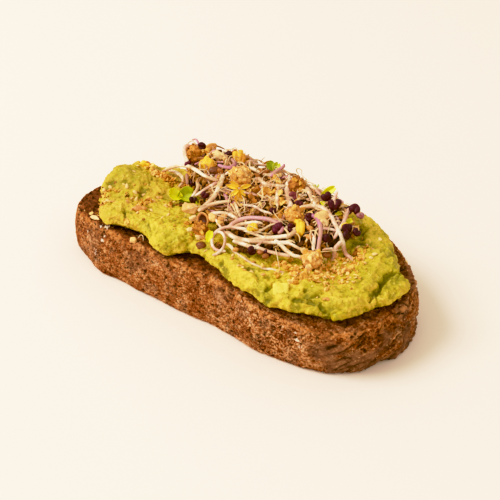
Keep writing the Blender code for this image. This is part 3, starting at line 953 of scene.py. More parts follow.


# --- Sprout stems ---
# Stems of radish sprouts, 1 to 2 mm thick, cream where they grew in the dark and pink to purple
# towards the seed. The large ones that lie on top are laid one by one, and the rest tangle below.

# A few stems below are given darker, more purple tones where they lie in shade: partly painted shade.
STEMS = [  # thickness, purple at the start and at the end, places (x, y, height over the heap or else 0.1)
    (2.4, 0.04, 0.12, [(-18.6, 4.6, 0.3), (-16.8, 0.9), (-15.2, -3.6), (-13.8, -9), (-14.8, -12.4),
        (-15.6, -15.8)]),
    (1.7, 0.3, 0.2, [(-17.9, -0.1), (-18.9, -3.8), (-20.2, -7.2), (-22.5, -9.4)]),
    (1.6, 0.04, 0.1, [(-26.8, -2.8), (-24.2, -5.2), (-23.5, -7.7), (-24, -10.2)]),
    (2, 0.1, 0.06, [(-15.1, -16.1), (-13.6, -12.2), (-11.1, -10.4), (-9.3, -7.8), (-7, -5.4)]),
    (2.3, 0.06, 0.14, [(-10.1, -15.9), (-8.1, -13.4), (-5, -11.7), (-1.6, -11.1), (1.5, -11.7)]),
    (1.4, 0.05, 0.04, [(-5.3, -5.1), (-1.5, -8), (1.9, -10.6)]),
    (1.3, 0.22, 0.16, [(-6.9, -16.2), (-2.7, -17.9), (1.4, -19.7)]),
    (2.1, 0.3, 0.7, [(0.6, -16.5), (0.8, -14.2, 0.2), (2.5, -11.6, 0.5), (4.9, -9, 0.8), (8.9, -7.5, 0.8),
        (12.3, -6.3, 0.8), (15.7, -6, 0.6), (19.1, -6.4, 0.4), (20.8, -8.1, 0.3), (19.9, -9.6)]),
    (2.3, 0.12, 0.04, [(0.6, -18.9), (5.2, -19.9, 0.4), (9.1, -18.6, 0.4), (12.9, -17, 0.5),
        (16.5, -14.5, 0.6), (19.9, -11.7, 0.6), (23.6, -9.3, 0.5), (25, -6.2, 0.4), (24.6, -4.7, 0.3),
        (22.1, -4.3), (20.4, -5.7)]),
    (2, 0.12, 0.08, [(2.1, -16.9, 0.2), (3.8, -13.3, 0.3), (7.8, -10.6, 0.4), (11.9, -8.9, 0.3)]),
    (1.9, 0.18, 0.12, [(11.4, -18.2, 0.4), (14.3, -17.3, 0.5), (21.4, -13.7, 0.6), (27.1, -10.3, 0.4)]),
    (1.2, 0.04, 0.04, [(12.8, -14.6, 0.3), (13.9, -11.4, 0.4), (15, -8.3, 0.5), (16.8, -6.7, 0.4)]),
    (1.5, 0.04, 0.06, [(5.8, -15.2, 0.3), (10.7, -15.1, 0.4), (15.5, -14.4, 0.4), (19.5, -12.6, 0.3)]),
    (1.4, 0.1, 0.02, [(5.7, -24.7, 0.6), (9.9, -24.5, 0.7), (14.9, -24.6, 0.8), (19.9, -25.4, 0.8),
        (23.9, -25, 0.8), (27.4, -23, 0.7), (32.2, -21, 0.5)]),
    (2.1, 0.06, 0.04, [(20.6, -12.6, 0.4), (24.2, -13.4, 0.5), (28.3, -14.9, 0.5), (31.5, -15.3, 0.6),
        (33.9, -13.5, 0.6), (35.3, -9.6, 0.6)]),
    (2, 0.12, 0.2, [(6.2, -21.2), (10.4, -20.2, 0.3), (14.9, -20.6, 0.4), (18.2, -19.3, 0.4),
        (22.6, -18.6, 0.4), (26.5, -17.4, 0.4), (30.6, -16.4, 0.3)]),
    (1.3, 0.3, 0.25, [(15, -23.1, 0.3), (16.6, -20.4, 0.5), (17, -16, 0.6), (17.8, -13.7, 0.5)]),
    (1.5, 0.18, 0.05, [(21.2, -13.4, 0.2), (26, -11.7, 0.3), (30.5, -11.3, 0.3), (34.9, -9.9, 0.3)]),
    (1.9, 0.14, 0.1, [(-5.6, 8.4), (-4.4, 9.8), (0.3, 8.2, 0.3), (3.5, 9.9, 0.3), (6.3, 11.2, 0.3),
        (7.4, 12.3)]),
    (1.8, 0.12, 0.1, [(5.7, 10, 0.3), (7.2, 7.4, 0.3), (10, 3.2, 0.3), (11.5, 1.5, 0.2)]),
    (2.6, 0.14, 0.26, [(6.4, 16.7, 0.2), (6.8, 15.4), (9.9, 10.6), (13, 7.7, 0.2), (15.3, 5.3, 0.2),
        (15.3, 3.1), (16.6, -2.9), (16.9, -5.8)]),
    (2.3, 0.1, 0.05, [(5.8, 17.2, 0.4), (9.8, 12.6, 0.5), (13.8, 8.2, 0.4)]),
    (2.1, 0.16, 0.1, [(11.5, 19.9, 0.2), (15.5, 16.3, 0.3), (18.9, 13.7, 0.3), (22.1, 11.2, 0.3),
        (24.9, 9.4, 0.2)]),
    (2.1, 0.1, 0.26, [(19.5, 5.9, 0.2), (22.8, 7.2, 0.5), (26, 9.5, 0.6), (29.9, 9.2, 0.7),
        (33.8, 6.9, 0.8), (37.1, 4.7, 0.9), (39.7, 3.6, 1), (42.4, 2.3, 1.9), (45.6, 1.3, 1.9),
        (49.1, 0.5, 0.6)]),
    (2.1, 0.95, 0.36, [(24.1, 2.7, 0.2), (25.1, 3.9, 0.5), (27.1, 4.4, 0.7), (29.6, 3.4, 0.9),
        (32.6, 0.9, 1), (34.6, -1.5, 1), (36.3, -4.9, 1), (37.8, -8.2, 0.9)]),
    (1.8, 0.26, 0.3, [(36.4, 15.4, 0.3), (38.1, 11.1, 0.6), (39.1, 7.1, 0.8), (39.5, 3.4, 0.9),
        (39.9, -0.1, 0.8)]),
    (1.6, 0.26, 0.36, [(33.5, 0.4, 0.3), (36, 2, 0.4), (38.8, 3.1, 0.4)]),
    (1.9, 0.22, 0.25, [(40.9, -3.9, 0.5), (41.7, -1.7, 0.8), (42, -0.6, 0.8), (42.2, 1.7, 0.6)]),
    (1.2, 0.2, 0.2, [(39, -6.6, 0.5), (41.5, -2.3, 0.8), (43.1, 2.4, 0.6)]),
    (1.7, 0.1, 0.12, [(33, -3.5, 0.5), (34.6, -6.2, 0.5), (36.1, -8.7, 0.4)]),
    (1.8, 0.06, 0.1, [(-11.2, 13.3, 0.3), (-7.6, 13.7, 0.3), (-3.6, 13.5, 0.3), (0, 12.9, 0.2)]),
    (2, 0.8, 0.56, [(-20.7, 12.8, 0.2), (-17.9, 11.8, 0.3), (-18.1, 8.6, 0.3), (-21.1, 7.4), (-23.4, 7.3)]),
    (1.7, 0.6, 0.75, [(-21.1, 4, 0.2), (-19.5, 1)]),
    (1.7, 0.75, 0.95, [(-34.9, 0.4, 0.2), (-32.9, -1.8, 0.2), (-30.9, -4, 0)]),
    (1.9, 0.2, 0.36, [(-41.1, 8.5, 1.2), (-38, 4.3, 1.3), (-35.2, 1.5, 1)]),
    (1.5, 0.1, 0.12, [(-17.5, 4.4), (-16.4, 8.1, 0.2), (-15, 12.2, 0.2), (-11.6, 12.9)]),
    (1.5, 0.1, 0.15, [(38.7, -9.3, 0.5), (38.9, -14, 0.9), (38.6, -19, 0.7), (36.2, -21.8, 0.5)]),
    (1.3, 0.12, 0.3, [(-12, 5, 0.2), (-8, 1.6, 0.2), (-4, 0.6, 0.2), (0.4, 2.4, 0.2)]),
    (1.4, 0.3, 0.16, [(-1.4, -4.6, 0.2), (3, -3, 0.3), (7.4, -3.8, 0.3), (12, -3.4, 0.2)]),
]
ARCHES = [  # thickness, purple at the start and at the end, and places (x, y, z), of stems that stand free
    (1.6, 0.2, 0.32, [(8.5, -15, 35.8), (5.1, -16.2, 35.6), (1.7, -17.4, 35.4), (-0.8, -19.8, 34.8),
        (-1.8, -22.8, 33.6), (-1.2, -25.2, 31.8), (0.9, -26.8, 30.6), (3.6, -27.2, 30.3),
        (6.4, -26, 30.5)]),
    (1.4, 0.26, 0.22, [(-3, -21.6, 32.6), (-0.5, -21.3, 34.2), (1.9, -21.8, 34.6), (3.6, -22.8, 33.4),
        (4.7, -24.8, 31.8), (4.9, -26.8, 31), (4.5, -28.9, 30.4), (3.4, -30.6, 30)]),
    (2, 0.02, 0.1, [(-51.6, 3.6, 29.8), (-46, 3.2, 34.3), (-40.1, 2.2, 38), (-34.5, 1.3, 40.3),
        (-28.8, -0.2, 41.2), (-24.3, -1.3, 41.2), (-20.5, -1, 41), (-17.7, 0, 40.6)]),
    (1.8, 0.02, 0.04, [(-50.7, 6.6, 29.2), (-44.9, 5, 31.2), (-39.6, 2.5, 32.4), (-37.6, 0.9, 31.2),
        (-38.4, -1.2, 29.8)]),
    (1.7, 0.5, 0.8, [(0.5, 11.4, 43.8), (1, 14.2, 44.6), (1.6, 17.2, 45), (2.7, 18, 46.2),
        (2.6, 18.4, 47)]),
    (1.2, 0.45, 0.65, [(-42.1, 13, 44.8), (-39.4, 12.5, 46.3), (-37.7, 12, 45.2), (-36.6, 11, 44)]),
    (0.9, 0.12, 0.2, [(31.2, 13.6, 45.6), (30.2, 12.2, 43.9), (28.9, 12, 42.2), (28.6, 12.6, 40.8)]),
    (0.8, 0.12, 0.2, [(31.2, 13.4, 45.2), (31.9, 12, 43.9), (32.6, 11.6, 42.4)]),
    (2.3, 0.3, 0.04, [(-38.8, 7.6, 46), (-39.9, 6, 45.5), (-39.3, 4.6, 44), (-37.9, 3.8, 42),
        (-36, 3, 40)]),
    (1.4, 0.25, 0.3, [(31, 15, 46.8), (31.2, 13.6, 45.6), (31.4, 12, 44.2), (30, 12.4, 42.6)]),
]

KINK = 0.16 * MM  # how far a stem strays from an even curve
GIRTH = 0.92  # a tube's width, as a share of the thickness that its list gives
noise.seed_set(7)  # so that the kinks are the same on every run


def smooth_path(places, count):
    """Points along a smooth line through the places."""
    knots = [places[0] * 2 - places[1], *places, places[-1] * 2 - places[-2]]
    found = []
    for i in range(len(places) - 1):
        p0, p1, p2, p3 = knots[i:i + 4]
        for t in np.linspace(0, 1, count, endpoint=False):
            found.append(0.5 * (2 * p1 + (p2 - p0) * t + (2 * p0 - 5 * p1 + 4 * p2 - p3) * t * t
                                + (3 * p1 - p0 - 3 * p2 + p3) * t ** 3))
    return [*found, places[-1]]


def draped(path, surface, thick):
    """A path of places (x, y, height above the surface) laid on it, bridging its small hollows."""
    ground = []
    for x, y, _ in path:
        found = rest_on(surface, x, y)
        ground.append(found[0].z if found else (ground[-1] if ground else heap_low.z))
    soft = ground
    for _ in range(3):
        before, after = [soft[0], *soft[:-1]], [*soft[1:], soft[-1]]
        soft = [(a + b + c) / 3 for a, b, c in zip(before, soft, after)]
    laid = [Vector((p[0], p[1], max(s, g - thick * 0.4) + p[2])) for p, s, g in zip(path, soft, ground)]
    return [p + noise.noise_vector(p / (6 * MM)) * KINK for p in laid]


def strand_mesh(strands):
    """Loose edges along each strand, with its girth and its tones kept on the points."""
    points, edges, girths, tones = [], [], [], []
    for path, thick, tone_from, tone_to in strands:
        start = len(points)
        for i, p in enumerate(path):
            share = i / (len(path) - 1)
            ends = min(share, 1 - share) * (len(path) - 1)
            points.append(tuple(p))
            uneven = 1 + 0.16 * noise.noise(p / (5 * MM) + Vector((start, 0, 0)))
            girths.append(thick / 2 * (0.55 + 0.45 * min(ends / 1.5, 1)) * (1.06 - 0.22 * share) * uneven)
            tones.append(tone_from + (tone_to - tone_from) * share)
        edges += [(start + i, start + i + 1) for i in range(len(path) - 1)]
    mesh = bpy.data.meshes.new("strands")
    mesh.from_pydata(points, edges, [])
    keep(mesh, "girth", girths)
    keep(mesh, "tone", tones)
    return mesh


def tubes(shape, size):
    """A slightly flattened tube along each line, as thick as its girth says."""
    curve = shape.add("GeometryNodeMeshToCurve", {}, {"Mesh": shape})
    values = {"Curve": curve, "Length": size["Step"]}
    curve = curve.add("GeometryNodeResampleCurve", {"mode": "LENGTH"}, values)
    ring = curve.add("GeometryNodeCurvePrimitiveCircle", {}, {"Resolution": 9, "Radius": 1})
    ring = ring.add("GeometryNodeTransform", {}, {"Geometry": ring, "Scale": (1, 0.82, 1)})
    values = {"Curve": curve, "Profile Curve": ring, "Scale": named(curve, "girth"), "Fill Caps": True}
    tube = curve.add("GeometryNodeCurveToMesh", {}, values)
    return tube.add("GeometryNodeSetShadeSmooth", {}, {"Geometry": tube})


def stem_colours(place):
    tone = attribute(place, "tone")
    patch, fine = place.grain(5), place.grain(0.8, 3, 0.6)
    colour = painted(
        (tone + (patch - 0.5) * 0.4).ramp(
            (0, (0.89, 0.65, 0.41)), (0.14, (0.79, 0.5, 0.33)), (0.34, (0.72, 0.37, 0.35)),
            (0.56, (0.61, 0.26, 0.39)), (0.78, (0.34, 0.08, 0.19)), (1, (0.1, 0.006, 0.036)),
        ),
        (patch.step(0.5, 0.6) * 0.6, (0.54, 0.3, 0.14)),
        # painted highlights: near-white stretches along the cream stems
        ((1 - patch.step(0.4, 0.5)) * (1 - tone.step(0.2, 0.5)) * 0.75, (0.96, 0.82, 0.66)),
        (fine.step(0.46, 0.66) * 0.4, (0.52, 0.25, 0.13)),
    )
    return textured(colour, fine, 0.34, 0.25, 0.2)


stem_finish = finish(
    "sprout stem", stem_colours, Subsurface_Weight=0.08, Subsurface_Radius=(1, 0.6, 0.4),
    Subsurface_Scale=1 * MM, Specular_IOR_Level=0.5, Coat_Weight=0.3, Coat_Roughness=0.28,
)
strands = []
for thick, tone_from, tone_to, places in STEMS:
    path = smooth_path([Vector((*place, 0.1)[:3]) * MM for place in places], 6)
    path = [Vector((p.x, p.y, p.z - thick * 0.5 * MM)) for p in path]
    strands.append((draped(path, heap_skin, thick * MM), thick * GIRTH * MM, tone_from, tone_to))
for thick, tone_from, tone_to, places in ARCHES:
    path = smooth_path([Vector(place) * MM for place in places], 6)
    strands.append((path, thick * GIRTH * MM, tone_from, tone_to))


def tangled(count, lengths, thicks, depths, seed):
    """Stems that wander over the heap at random, most of them along it."""
    dice, made = random.Random(seed), []
    while len(made) < count:
        at = Vector((dice.uniform(heap_low.x, heap_high.x), dice.uniform(heap_low.y, heap_high.y)))
        heading, bend = dice.gauss(0.2, 0.9) + math.pi * dice.randrange(2), dice.gauss(0, 1.2)
        length, thick = dice.uniform(*lengths) * MM, dice.uniform(*thicks) * MM
        depth, path, steps, shortest = dice.uniform(*depths) * MM, [], 16, 9
        for _ in range(steps + 1):
            inside = heap_low.x < at.x < heap_high.x + 2 * MM and heap_low.y - 2 * MM < at.y < heap_high.y
            if not inside or not on_heap(at.x, at.y):
                break
            path.append(Vector((at.x, at.y, depth)))
            heading += bend / steps + dice.gauss(0, 0.09)
            at = at + Vector((math.cos(heading), math.sin(heading))) * length / steps
        if len(path) < shortest:
            continue
        tint = max(0, dice.gauss(0.16, 0.2))
        made.append((draped(path, heap_skin, thick), thick, tint, min(1, tint + abs(dice.gauss(0, 0.3)))))
    return made


def crawling(spots, surface, lengths, thicks, depths):
    """Strands that wander over a surface from those spots, however steep it is."""
    made, steps, shortest = [], 14, 4
    for place, up in spots:
        length, lift, path = dice.uniform(*lengths) * MM, dice.uniform(*depths) * MM, []
        way = up.orthogonal().normalized()
        way.rotate(Quaternion(up, dice.uniform(0, 2 * math.pi)))
        for _ in range(steps + 1):
            under = rest_on(mash_skin, place.x, place.y)
            if len(path) > shortest and (up.y < -0.1 or not under or place.z < under[0].z + 0.8 * MM):
                break
            path.append(place + up * lift)
            way.rotate(Quaternion(up, dice.gauss(0, 0.16)))
            place, up, _, _ = surface.find_nearest(place + way * length / steps)
            way = (way - up * way.dot(up)).normalized()
        tone = max(0, dice.gauss(0.16, 0.2))
        made.append((path, dice.uniform(*thicks) * MM, tone, min(1, tone + abs(dice.gauss(0, 0.3)))))
    return made


tangle = tangled(14, (14, 32), (0.7, 1.2), (-2.4, -1.2), 5)
tangle += tangled(40, (8, 20), (0.8, 1.5), (-3.4, -2), 6)
tangle += crawling(far_side(60), heap_skin, (10, 24), (0.9, 1.8), (-1.6, -0.4))
stems = grow("sprout_stems", strand_mesh(strands + tangle), {"Step": 0.8}, tubes, stem_finish)
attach(stems, "root")


# --- Root hairs and dry fibres ---
# Thread-thin rootlets of the sprouts, white to straw-coloured, which curl over the stems and stand
# out of the heap's skyline in loose loops, and short dry shreds of husk caught between the crumbs.

HAIRS = [  # places (x, y, z)
    [(9.6, 19.5, 41), (8.4, 20.5, 43), (6.9, 21, 44.2), (7.8, 21, 45.6), (9.6, 21, 45.2),
        (10.2, 20.4, 43.4), (14, 19, 43.4), (19, 17, 43.4)],
    [(-41, 9, 41), (-42.4, 10, 43.4), (-41.2, 11, 45.4), (-39, 11.4, 45.2), (-38, 11, 43.6)],
    [(12.5, -13, 36.4), (9, -14.5, 37.4), (9.5, -16.5, 36.6), (12, -16, 36.4), (14, -13.5, 36.6)],
    [(-3, -3, 40.6), (0, -5.5, 41), (3, -9, 38.6)],
    [(-8, -4, 40), (-6, -8, 39.4), (-3.5, -12, 37.6)],
    [(24, -17, 34.6), (27, -20, 34.2), (31, -24, 32.4)],
    [(31, -4, 37.4), (36, -9, 36.4), (42, -9.5, 32.4)],
    [(-11.5, 20.5, 41.2), (-9.6, 20, 44), (-7.6, 19, 46.2)],
    [(-24, 14, 44.6), (-22, 17, 46.4), (-19, 16, 45.6)],
    [(34, -11, 34.4), (40, -8, 34.8), (45, -2, 34.4)],
    [(-34.6, -32.2, 22.4), (-33.8, -31.6, 24), (-32.4, -31.6, 24.2), (-31.6, -32.4, 22.4)],
]


def hair_colours(place):
    fine = place.grain(2)
    return textured(fine.step(0.3, 0.7).blend((0.8, 0.62, 0.4), (0.6, 0.4, 0.2)), fine, 0.4, 0.2)


def fibre_colours(place):
    fine = place.grain(1.5, 2, 0.6)
    shade = (attribute(place, "tone") + (fine - 0.5) * 0.6).step(0, 1)
    return textured(shade.blend((0.84, 0.6, 0.34), (0.36, 0.15, 0.05)), fine, 0.55, 0.3)


hair_strands = [(smooth_path([Vector(p) * MM for p in places], 7), 0.4 * MM, 0, 0) for places in HAIRS]


def curls(count, lengths, thicks, lift, arch, spot):
    """Short curled threads over the heap, arched up in the middle."""
    made, steps = [], 12
    while len(made) < count:
        x, y = spot()
        heading, length = dice.uniform(0, 2 * math.pi), dice.uniform(*lengths) * MM
        bend, at, path = dice.gauss(0, 2.2), Vector((x * MM, y * MM)), []
        for i in range(steps + 1):
            if not rest_on(heap_skin, at.x, at.y):
                break
            path.append(Vector((at.x, at.y, (lift + arch * math.sin(math.pi * i / steps)) * MM)))
            heading += bend / steps
            at = at + Vector((math.cos(heading), math.sin(heading))) * length / steps
        if len(path) > steps:
            tone = dice.random()
            made.append((draped(path, heap_skin, 0.3 * MM), dice.uniform(*thicks) * MM, tone, tone))
    return made


hair_strands += curls(40, (5, 13), (0.2, 0.36), -0.4, 1.2, in_heap)
hairs = grow(
    "root_hairs", strand_mesh(hair_strands), {"Step": 0.6}, tubes,
    finish("root hair", hair_colours, Subsurface_Weight=0.1, Subsurface_Scale=0.4 * MM),
)
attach(hairs, "root")

fibres = grow(
    "dry_fibres", strand_mesh(
        curls(210, (2.5, 7), (0.45, 0.95), -1.3, 0.9, in_heap)
        + crawling(far_side(150), core_skin, (3, 9), (0.45, 0.95), (0.4, 2.4))
    ), {"Step": 0.7}, tubes,
    finish("dry husk", fibre_colours, Specular_IOR_Level=0.3),
)
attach(fibres, "root")


# --- Purple seed heads ---
# The folded seed leaves at the stems' ends, still dark purple and shut: two plump lobes with a deep
# notch where the stem goes in, 3 to 5 mm across and waxy.

SEED_HEADS = [  # place, turn, radius, and tone: 0 almost black, 0.5 wine red, 1 faded lilac
    ((-35.7, 11.4, 44.4), (20, -53, 127), 2.1, 0.15),
    ((-23, 13.6, 44), (83, -34, 68), 2, 0.1),
    ((-18, -8.2, 37.9), (60, 20, 10), 1.6, 0.35),
    ((18.4, -8, 36.6), (83, -34, 68), 2.4, 0.5),
    ((22.6, -5, 36.6), (20, -53, 127), 1.9, 0.25),
    ((31.5, 12.5, 42.8), (53, 0, 37), 2.6, 0.3),
    ((39.3, 15.1, 41.4), (-49, -24, -162), 2.2, 0.32),
    ((42.4, 14.6, 40.4), (20, 10, 70), 1.6, 0.9),
    ((26.2, 14.4, 43), (49, -24, 56), 2.1, 0.3),
    ((41.6, 6.6, 38.6), (60, 30, 80), 2.4, 0.22),
    ((43, 4.4, 37), (20, 70, 30), 1.9, 0.12),
    ((45.4, 7.8, 37.4), (10, 40, 20), 1.8, 0.15),
    ((37.8, -1.4, 36.4), (20, 70, 30), 1.9, 0.15),
    ((36.4, -0.6, 35.6), (10, 20, 50), 1.9, 0.1),
    ((25.5, 3.4, 38.2), (0, -53, 127), 2, 0.2),
    ((11, -0.8, 38.2), (30, 20, 60), 1.5, 0.3),
    ((18.2, 7.2, 39.9), (90, 10, 20), 1.8, 0.4),
    ((13.4, 9.6, 40), (-34, -44, 171), 2, 0.74),
    ((14.4, 7.8, 39), (20, 10, 70), 1.8, 0.3),
    ((21.6, -18.6, 32.6), (40, 10, 40), 1.7, 0.2),
    ((16.4, -22, 33.2), (30, 60, 37), 1.9, 0.12),
    ((-36, 2.6, 40.4), (80, 0, 90), 1.7, 0.55),
    ((-31, -1.4, 35), (30, 10, 140), 1.8, 0.1),
    ((-22.6, -10.4, 34.8), (40, 10, 40), 1.6, 0.05),
    ((6, 22, 37.5), (30, 10, 140), 2.1, 0.3),
    ((-16, 22.5, 37.5), (60, 40, 20), 2.1, 0.5),
    ((33, 20, 36), (20, 10, 70), 2.2, 0.4),
    ((-30, 19, 38.5), (50, 30, 10), 2.1, 0.3),
]


def seed_head(points):
    """A ball pinched into two lobes by a groove, with a deep notch at one end."""
    x, y, z = points.T
    groove = np.exp(-(x / 0.26) ** 2) * np.clip(0.35 + z + 0.7 * y, 0, 1)
    form = points * (1 - 0.42 * groove)[:, None]
    form[:, 0] *= 1.08
    form[:, 1] *= 0.92 - 0.2 * y
    form[:, 2] *= 0.76
    return form


def head_colours(place):
    streak = place.grain(1.2, 3, 0.6)
    colour = (attribute(place, "tone") + (streak - 0.5) * 0.45).ramp(
        (0, (0.04, 0.001, 0.009)), (0.35, (0.075, 0.002, 0.019)), (0.65, (0.13, 0.006, 0.036)),
        (0.85, (0.3, 0.08, 0.08)), (1, (0.4, 0.24, 0.27)),
    )
    # painted highlights: violet streaks on the heads
    colour = (streak.step(0.56, 0.72) * 0.35).blend(colour, (0.26, 0.05, 0.15))
    return textured(colour, streak, 0.26, 0.25, 0.15)


round_points, round_faces = ball(4)
heads = [
    (posed(lumpy(seed_head(round_points), 0.9, 0.14, i), place, turn, (size,) * 3), round_faces, tone)
    for i, (place, turn, size, tone) in enumerate(SEED_HEADS)
]
seed_heads = joined("seed_heads", heads, finish("purple seed leaf", head_colours, Specular_IOR_Level=0.22))
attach(seed_heads, "root")


# --- Green seed leaves ---
# Opened seed leaves, one pair to a stem: fleshy heart-shaped blades, green to lime, cupped along
# the middle. The large pair lies at the heap's narrow end, on the mash.

LEAVES = [  # place of the stalk, turn, length, width, yellowness
    ((-30.5, -8.2, 31.2), (-32, -24, -135), 6.6, 6.4, 0.85),
    ((-31.9, -9.6, 31.6), (41, -3, 58), 7.2, 7.6, 0.34),
    ((-32.2, -9, 30.8), (50, 20, 21), 5.4, 4, 0.3),
    ((-22.6, -10.4, 35), (44, 49, -22), 3.8, 2.8, 0.35),
    ((-2.5, 18, 41.6), (-14, -44, 171), 4.8, 4.4, 0.1),
    ((-2.3, 17.6, 41.4), (19, -35, 90), 4.6, 4, 0.38),
    ((23.4, 14.6, 41.8), (49, -24, 56), 7, 3.6, 0.95),
    ((25.4, 11.4, 41.4), (50, 20, 21), 2.6, 2, 0.75),
    ((-2.8, -26.2, 31), (31, -58, 88), 5.2, 3.4, 0.85),
    ((38.6, 9.4, 38.2), (41, -3, 58), 3.4, 2.4, 0.7),
    ((33, 11, 38.6), (59, -3, 65), 3, 2, 0.8),
    ((14, 23, 36), (-20, 10, 100), 5, 4, 0.3),
    ((-22, 21, 38.5), (-20, 10, 60), 5, 4, 0.25),
    ((30.6, 17.6, 36), (-40, 10, 120), 4.6, 3.6, 0.2),
]


def leaf(length, width):
    """A cupped blade from its stalk at the origin along +X, as a closed skin of its own thickness."""
    rows, columns, thick = 11, 9, 0.35
    top, faces = [], []
    for i in range(rows):
        t = i / (rows - 1)
        half = width / 2 * math.sin(math.pi * min(t * 0.93 + 0.035, 1)) ** 0.62 * (0.62 + 0.52 * t)
        for j in range(columns):
            s = 2 * j / (columns - 1) - 1
            notch = 0.12 * length * math.exp(-(s / 0.35) ** 2) * t ** 6
            rise = 0.16 * width * s * s - 0.1 * width * math.exp(-(s / 0.25) ** 2) + 0.12 * length * t * t
            top.append((length * t - notch, half * s, rise))
    count = rows * columns
    points = np.array(top + [(x, y, z - thick) for x, y, z in top])
    for i in range(rows - 1):
        for j in range(columns - 1):
            a = i * columns + j
            square = (a, a + columns, a + columns + 1, a + 1)
            faces += [square, tuple(count + k for k in reversed(square))]
    rim = [*range(columns), *range(2 * columns - 1, count, columns)]
    rim += [*range(count - 2, count - columns - 1, -1), *range(count - 2 * columns, 0, -columns)]
    for a, b in zip(rim, rim[1:] + rim[:1]):
        faces.append((a, b, count + b, count + a))
    return points, faces


def leaf_colours(place):
    patch = place.grain(2.4, 2, 0.6)
    shade = (attribute(place, "tone") + (patch - 0.5) * 0.4).step(0, 1)
    return textured(shade.blend((0.32, 0.4, 0.004), (0.82, 0.78, 0.022)), patch, 0.36, 0.2, 0.15)


leaf_parts = []
for place, turn, length, width, yellow in LEAVES:
    points, faces = leaf(length, width)
    leaf_parts.append((posed(points, place, turn), faces, yellow))
leaves = joined("green_leaves", leaf_parts, finish(
    "seed leaf", leaf_colours, Subsurface_Weight=0.15, Subsurface_Radius=(0.8, 1, 0.1),
    Subsurface_Scale=0.8 * MM, Coat_Weight=0.08, Coat_Roughness=0.3,
))
rounding = leaves.modifiers.new("rounding", "SUBSURF")
rounding.levels = rounding.render_levels = 1
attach(leaves, "root")


# --- Yellow cotyledons ---
# Split yellow halves of sprouted lentils and peas, plump and creased, and the thin bright petals of
# one that has opened and fans out below the crest.

YELLOWS = [  # place, turn, half sizes, orangeness
    ((-28, 5.6, 41.8), (54, 44, -9), (3, 3.1, 2.2), 0.36),
    ((-25, 4.6, 41.6), (11, -42, 114), (2.8, 1.2, 1.6), 0.75),
    ((-19.6, 16.2, 43), (-13, -52, 143), (3.4, 2.5, 2.2), 0.42),
    ((-17.2, 15.6, 42.6), (11, -42, 114), (2.8, 1.5, 1.7), 0.8),
    ((-32, 13.6, 44.8), (53, 0, 37), (2.2, 1.4, 1.3), 0.6),
    ((26.2, -3.4, 36.9), (-7, -53, 135), (3.4, 2.1, 2), 0.24),
    ((24.4, -1.2, 37.8), (-49, -24, -162), (2.4, 1.4, 1.4), 0.3),
    ((9.4, -13.8, 35.6), (11, -42, 114), (2.3, 1.3, 1.3), 0.15),
    ((10.8, -12.8, 36.2), (-31, -58, 166), (2, 1.2, 1.2), 0.3),
    ((4.6, 13.2, 40.6), (53, 0, 37), (1.5, 1.2, 1.1), 0.3),
    ((40.6, 6.2, 39.4), (49, -24, 56), (1.5, 1, 1), 0.2),
    ((3, 20, 38.4), (30, 0, 60), (2.6, 1.7, 1.5), 0.6),
    ((30, 19, 37.6), (10, 20, 110), (2.6, 1.6, 1.5), 0.4),
    ((-59.2, 1, 32.2), (20, 0, 30), (2.3, 1.5, 1.6), 0.1),
]
PETALS = [  # place of the joint, turn, length, width, orangeness
    ((-6, -1, 41.2), (-43, 37, -134), 5, 2.6, 0.1),
    ((-5.8, -1.6, 40.8), (-56, 66, -104), 5.2, 2.2, 0.05),
    ((-6, -1.2, 41.2), (53, 72, -2), 4.2, 2.2, 0.3),
    ((-6.2, -1, 41.2), (43, 37, 28), 5.2, 2.6, 0.05),
    ((-6, -0.4, 41.6), (59, -3, 65), 5, 2.4, 0.1),
    ((-6.8, -0.6, 41.2), (-59, -3, -171), 5.4, 2.4, 0.2),
    ((-6.6, 0, 41.8), (-49, -24, -162), 4.6, 2.4, 0.35),
    ((-36.4, 5, 42.6), (-43, 37, -134), 3, 1.6, 0.95),
    ((-33, 5.8, 42.8), (43, 37, 28), 3, 1.8, 0.85),
    ((-38.6, 9.6, 42.4), (53, 72, -2), 3, 1.6, 0.9),
    ((-9.8, 21, 41), (59, -3, 65), 4, 2, 0.8),
    ((-8.4, 20, 41.2), (43, 37, 28), 3.4, 1.8, 0.7),
]


def yellow_colours(place):
    patch = place.grain(1.8, 3, 0.6)
    shade = (attribute(place, "tone") + (patch - 0.5) * 0.8).step(0, 1)
    colour = shade.blend((0.96, 0.58, 0.05), (0.56, 0.21, 0.014))
    colour = (patch.step(0.56, 0.72) * 0.5).blend(colour, (0.98, 0.72, 0.19))
    return textured(colour, patch, 0.38, 0.3, 0.25)


def half_pea(points):
    """A plump half with a crease along its round side."""
    form = points.copy()
    form[:, 2] = np.where(points[:, 2] < 0, points[:, 2] * 0.45, points[:, 2])
    return form * (1 - 0.2 * np.exp(-(points[:, 1] / 0.22) ** 2) * (points[:, 2] > 0))[:, None]


yellow_parts = []
for i, (place, turn, size, orange) in enumerate(YELLOWS):
    form = lumpy(half_pea(round_points), 0.7, 0.34, i + 30)
    yellow_parts.append((posed(form, place, turn, size), round_faces, orange))
for place, turn, length, width, orange in PETALS:
    points, faces = leaf(length, width)
    points[:, 1] *= 1 - 0.7 * (points[:, 0] / length) ** 2
    yellow_parts.append((posed(points, place, turn), faces, orange))
yellows = joined("yellow_cotyledons", yellow_parts, finish(
    "yellow cotyledon", yellow_colours, Subsurface_Weight=0.12, Subsurface_Radius=(1, 0.6, 0.1),
    Subsurface_Scale=1 * MM, Specular_IOR_Level=0.4,
))
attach(yellows, "root")


# --- Nuts, shells and lentils ---
# Single pieces that stand out at the heap's edge: pale nut kernels, a split brown shell, whole
# red-brown lentils and flat amber flakes.

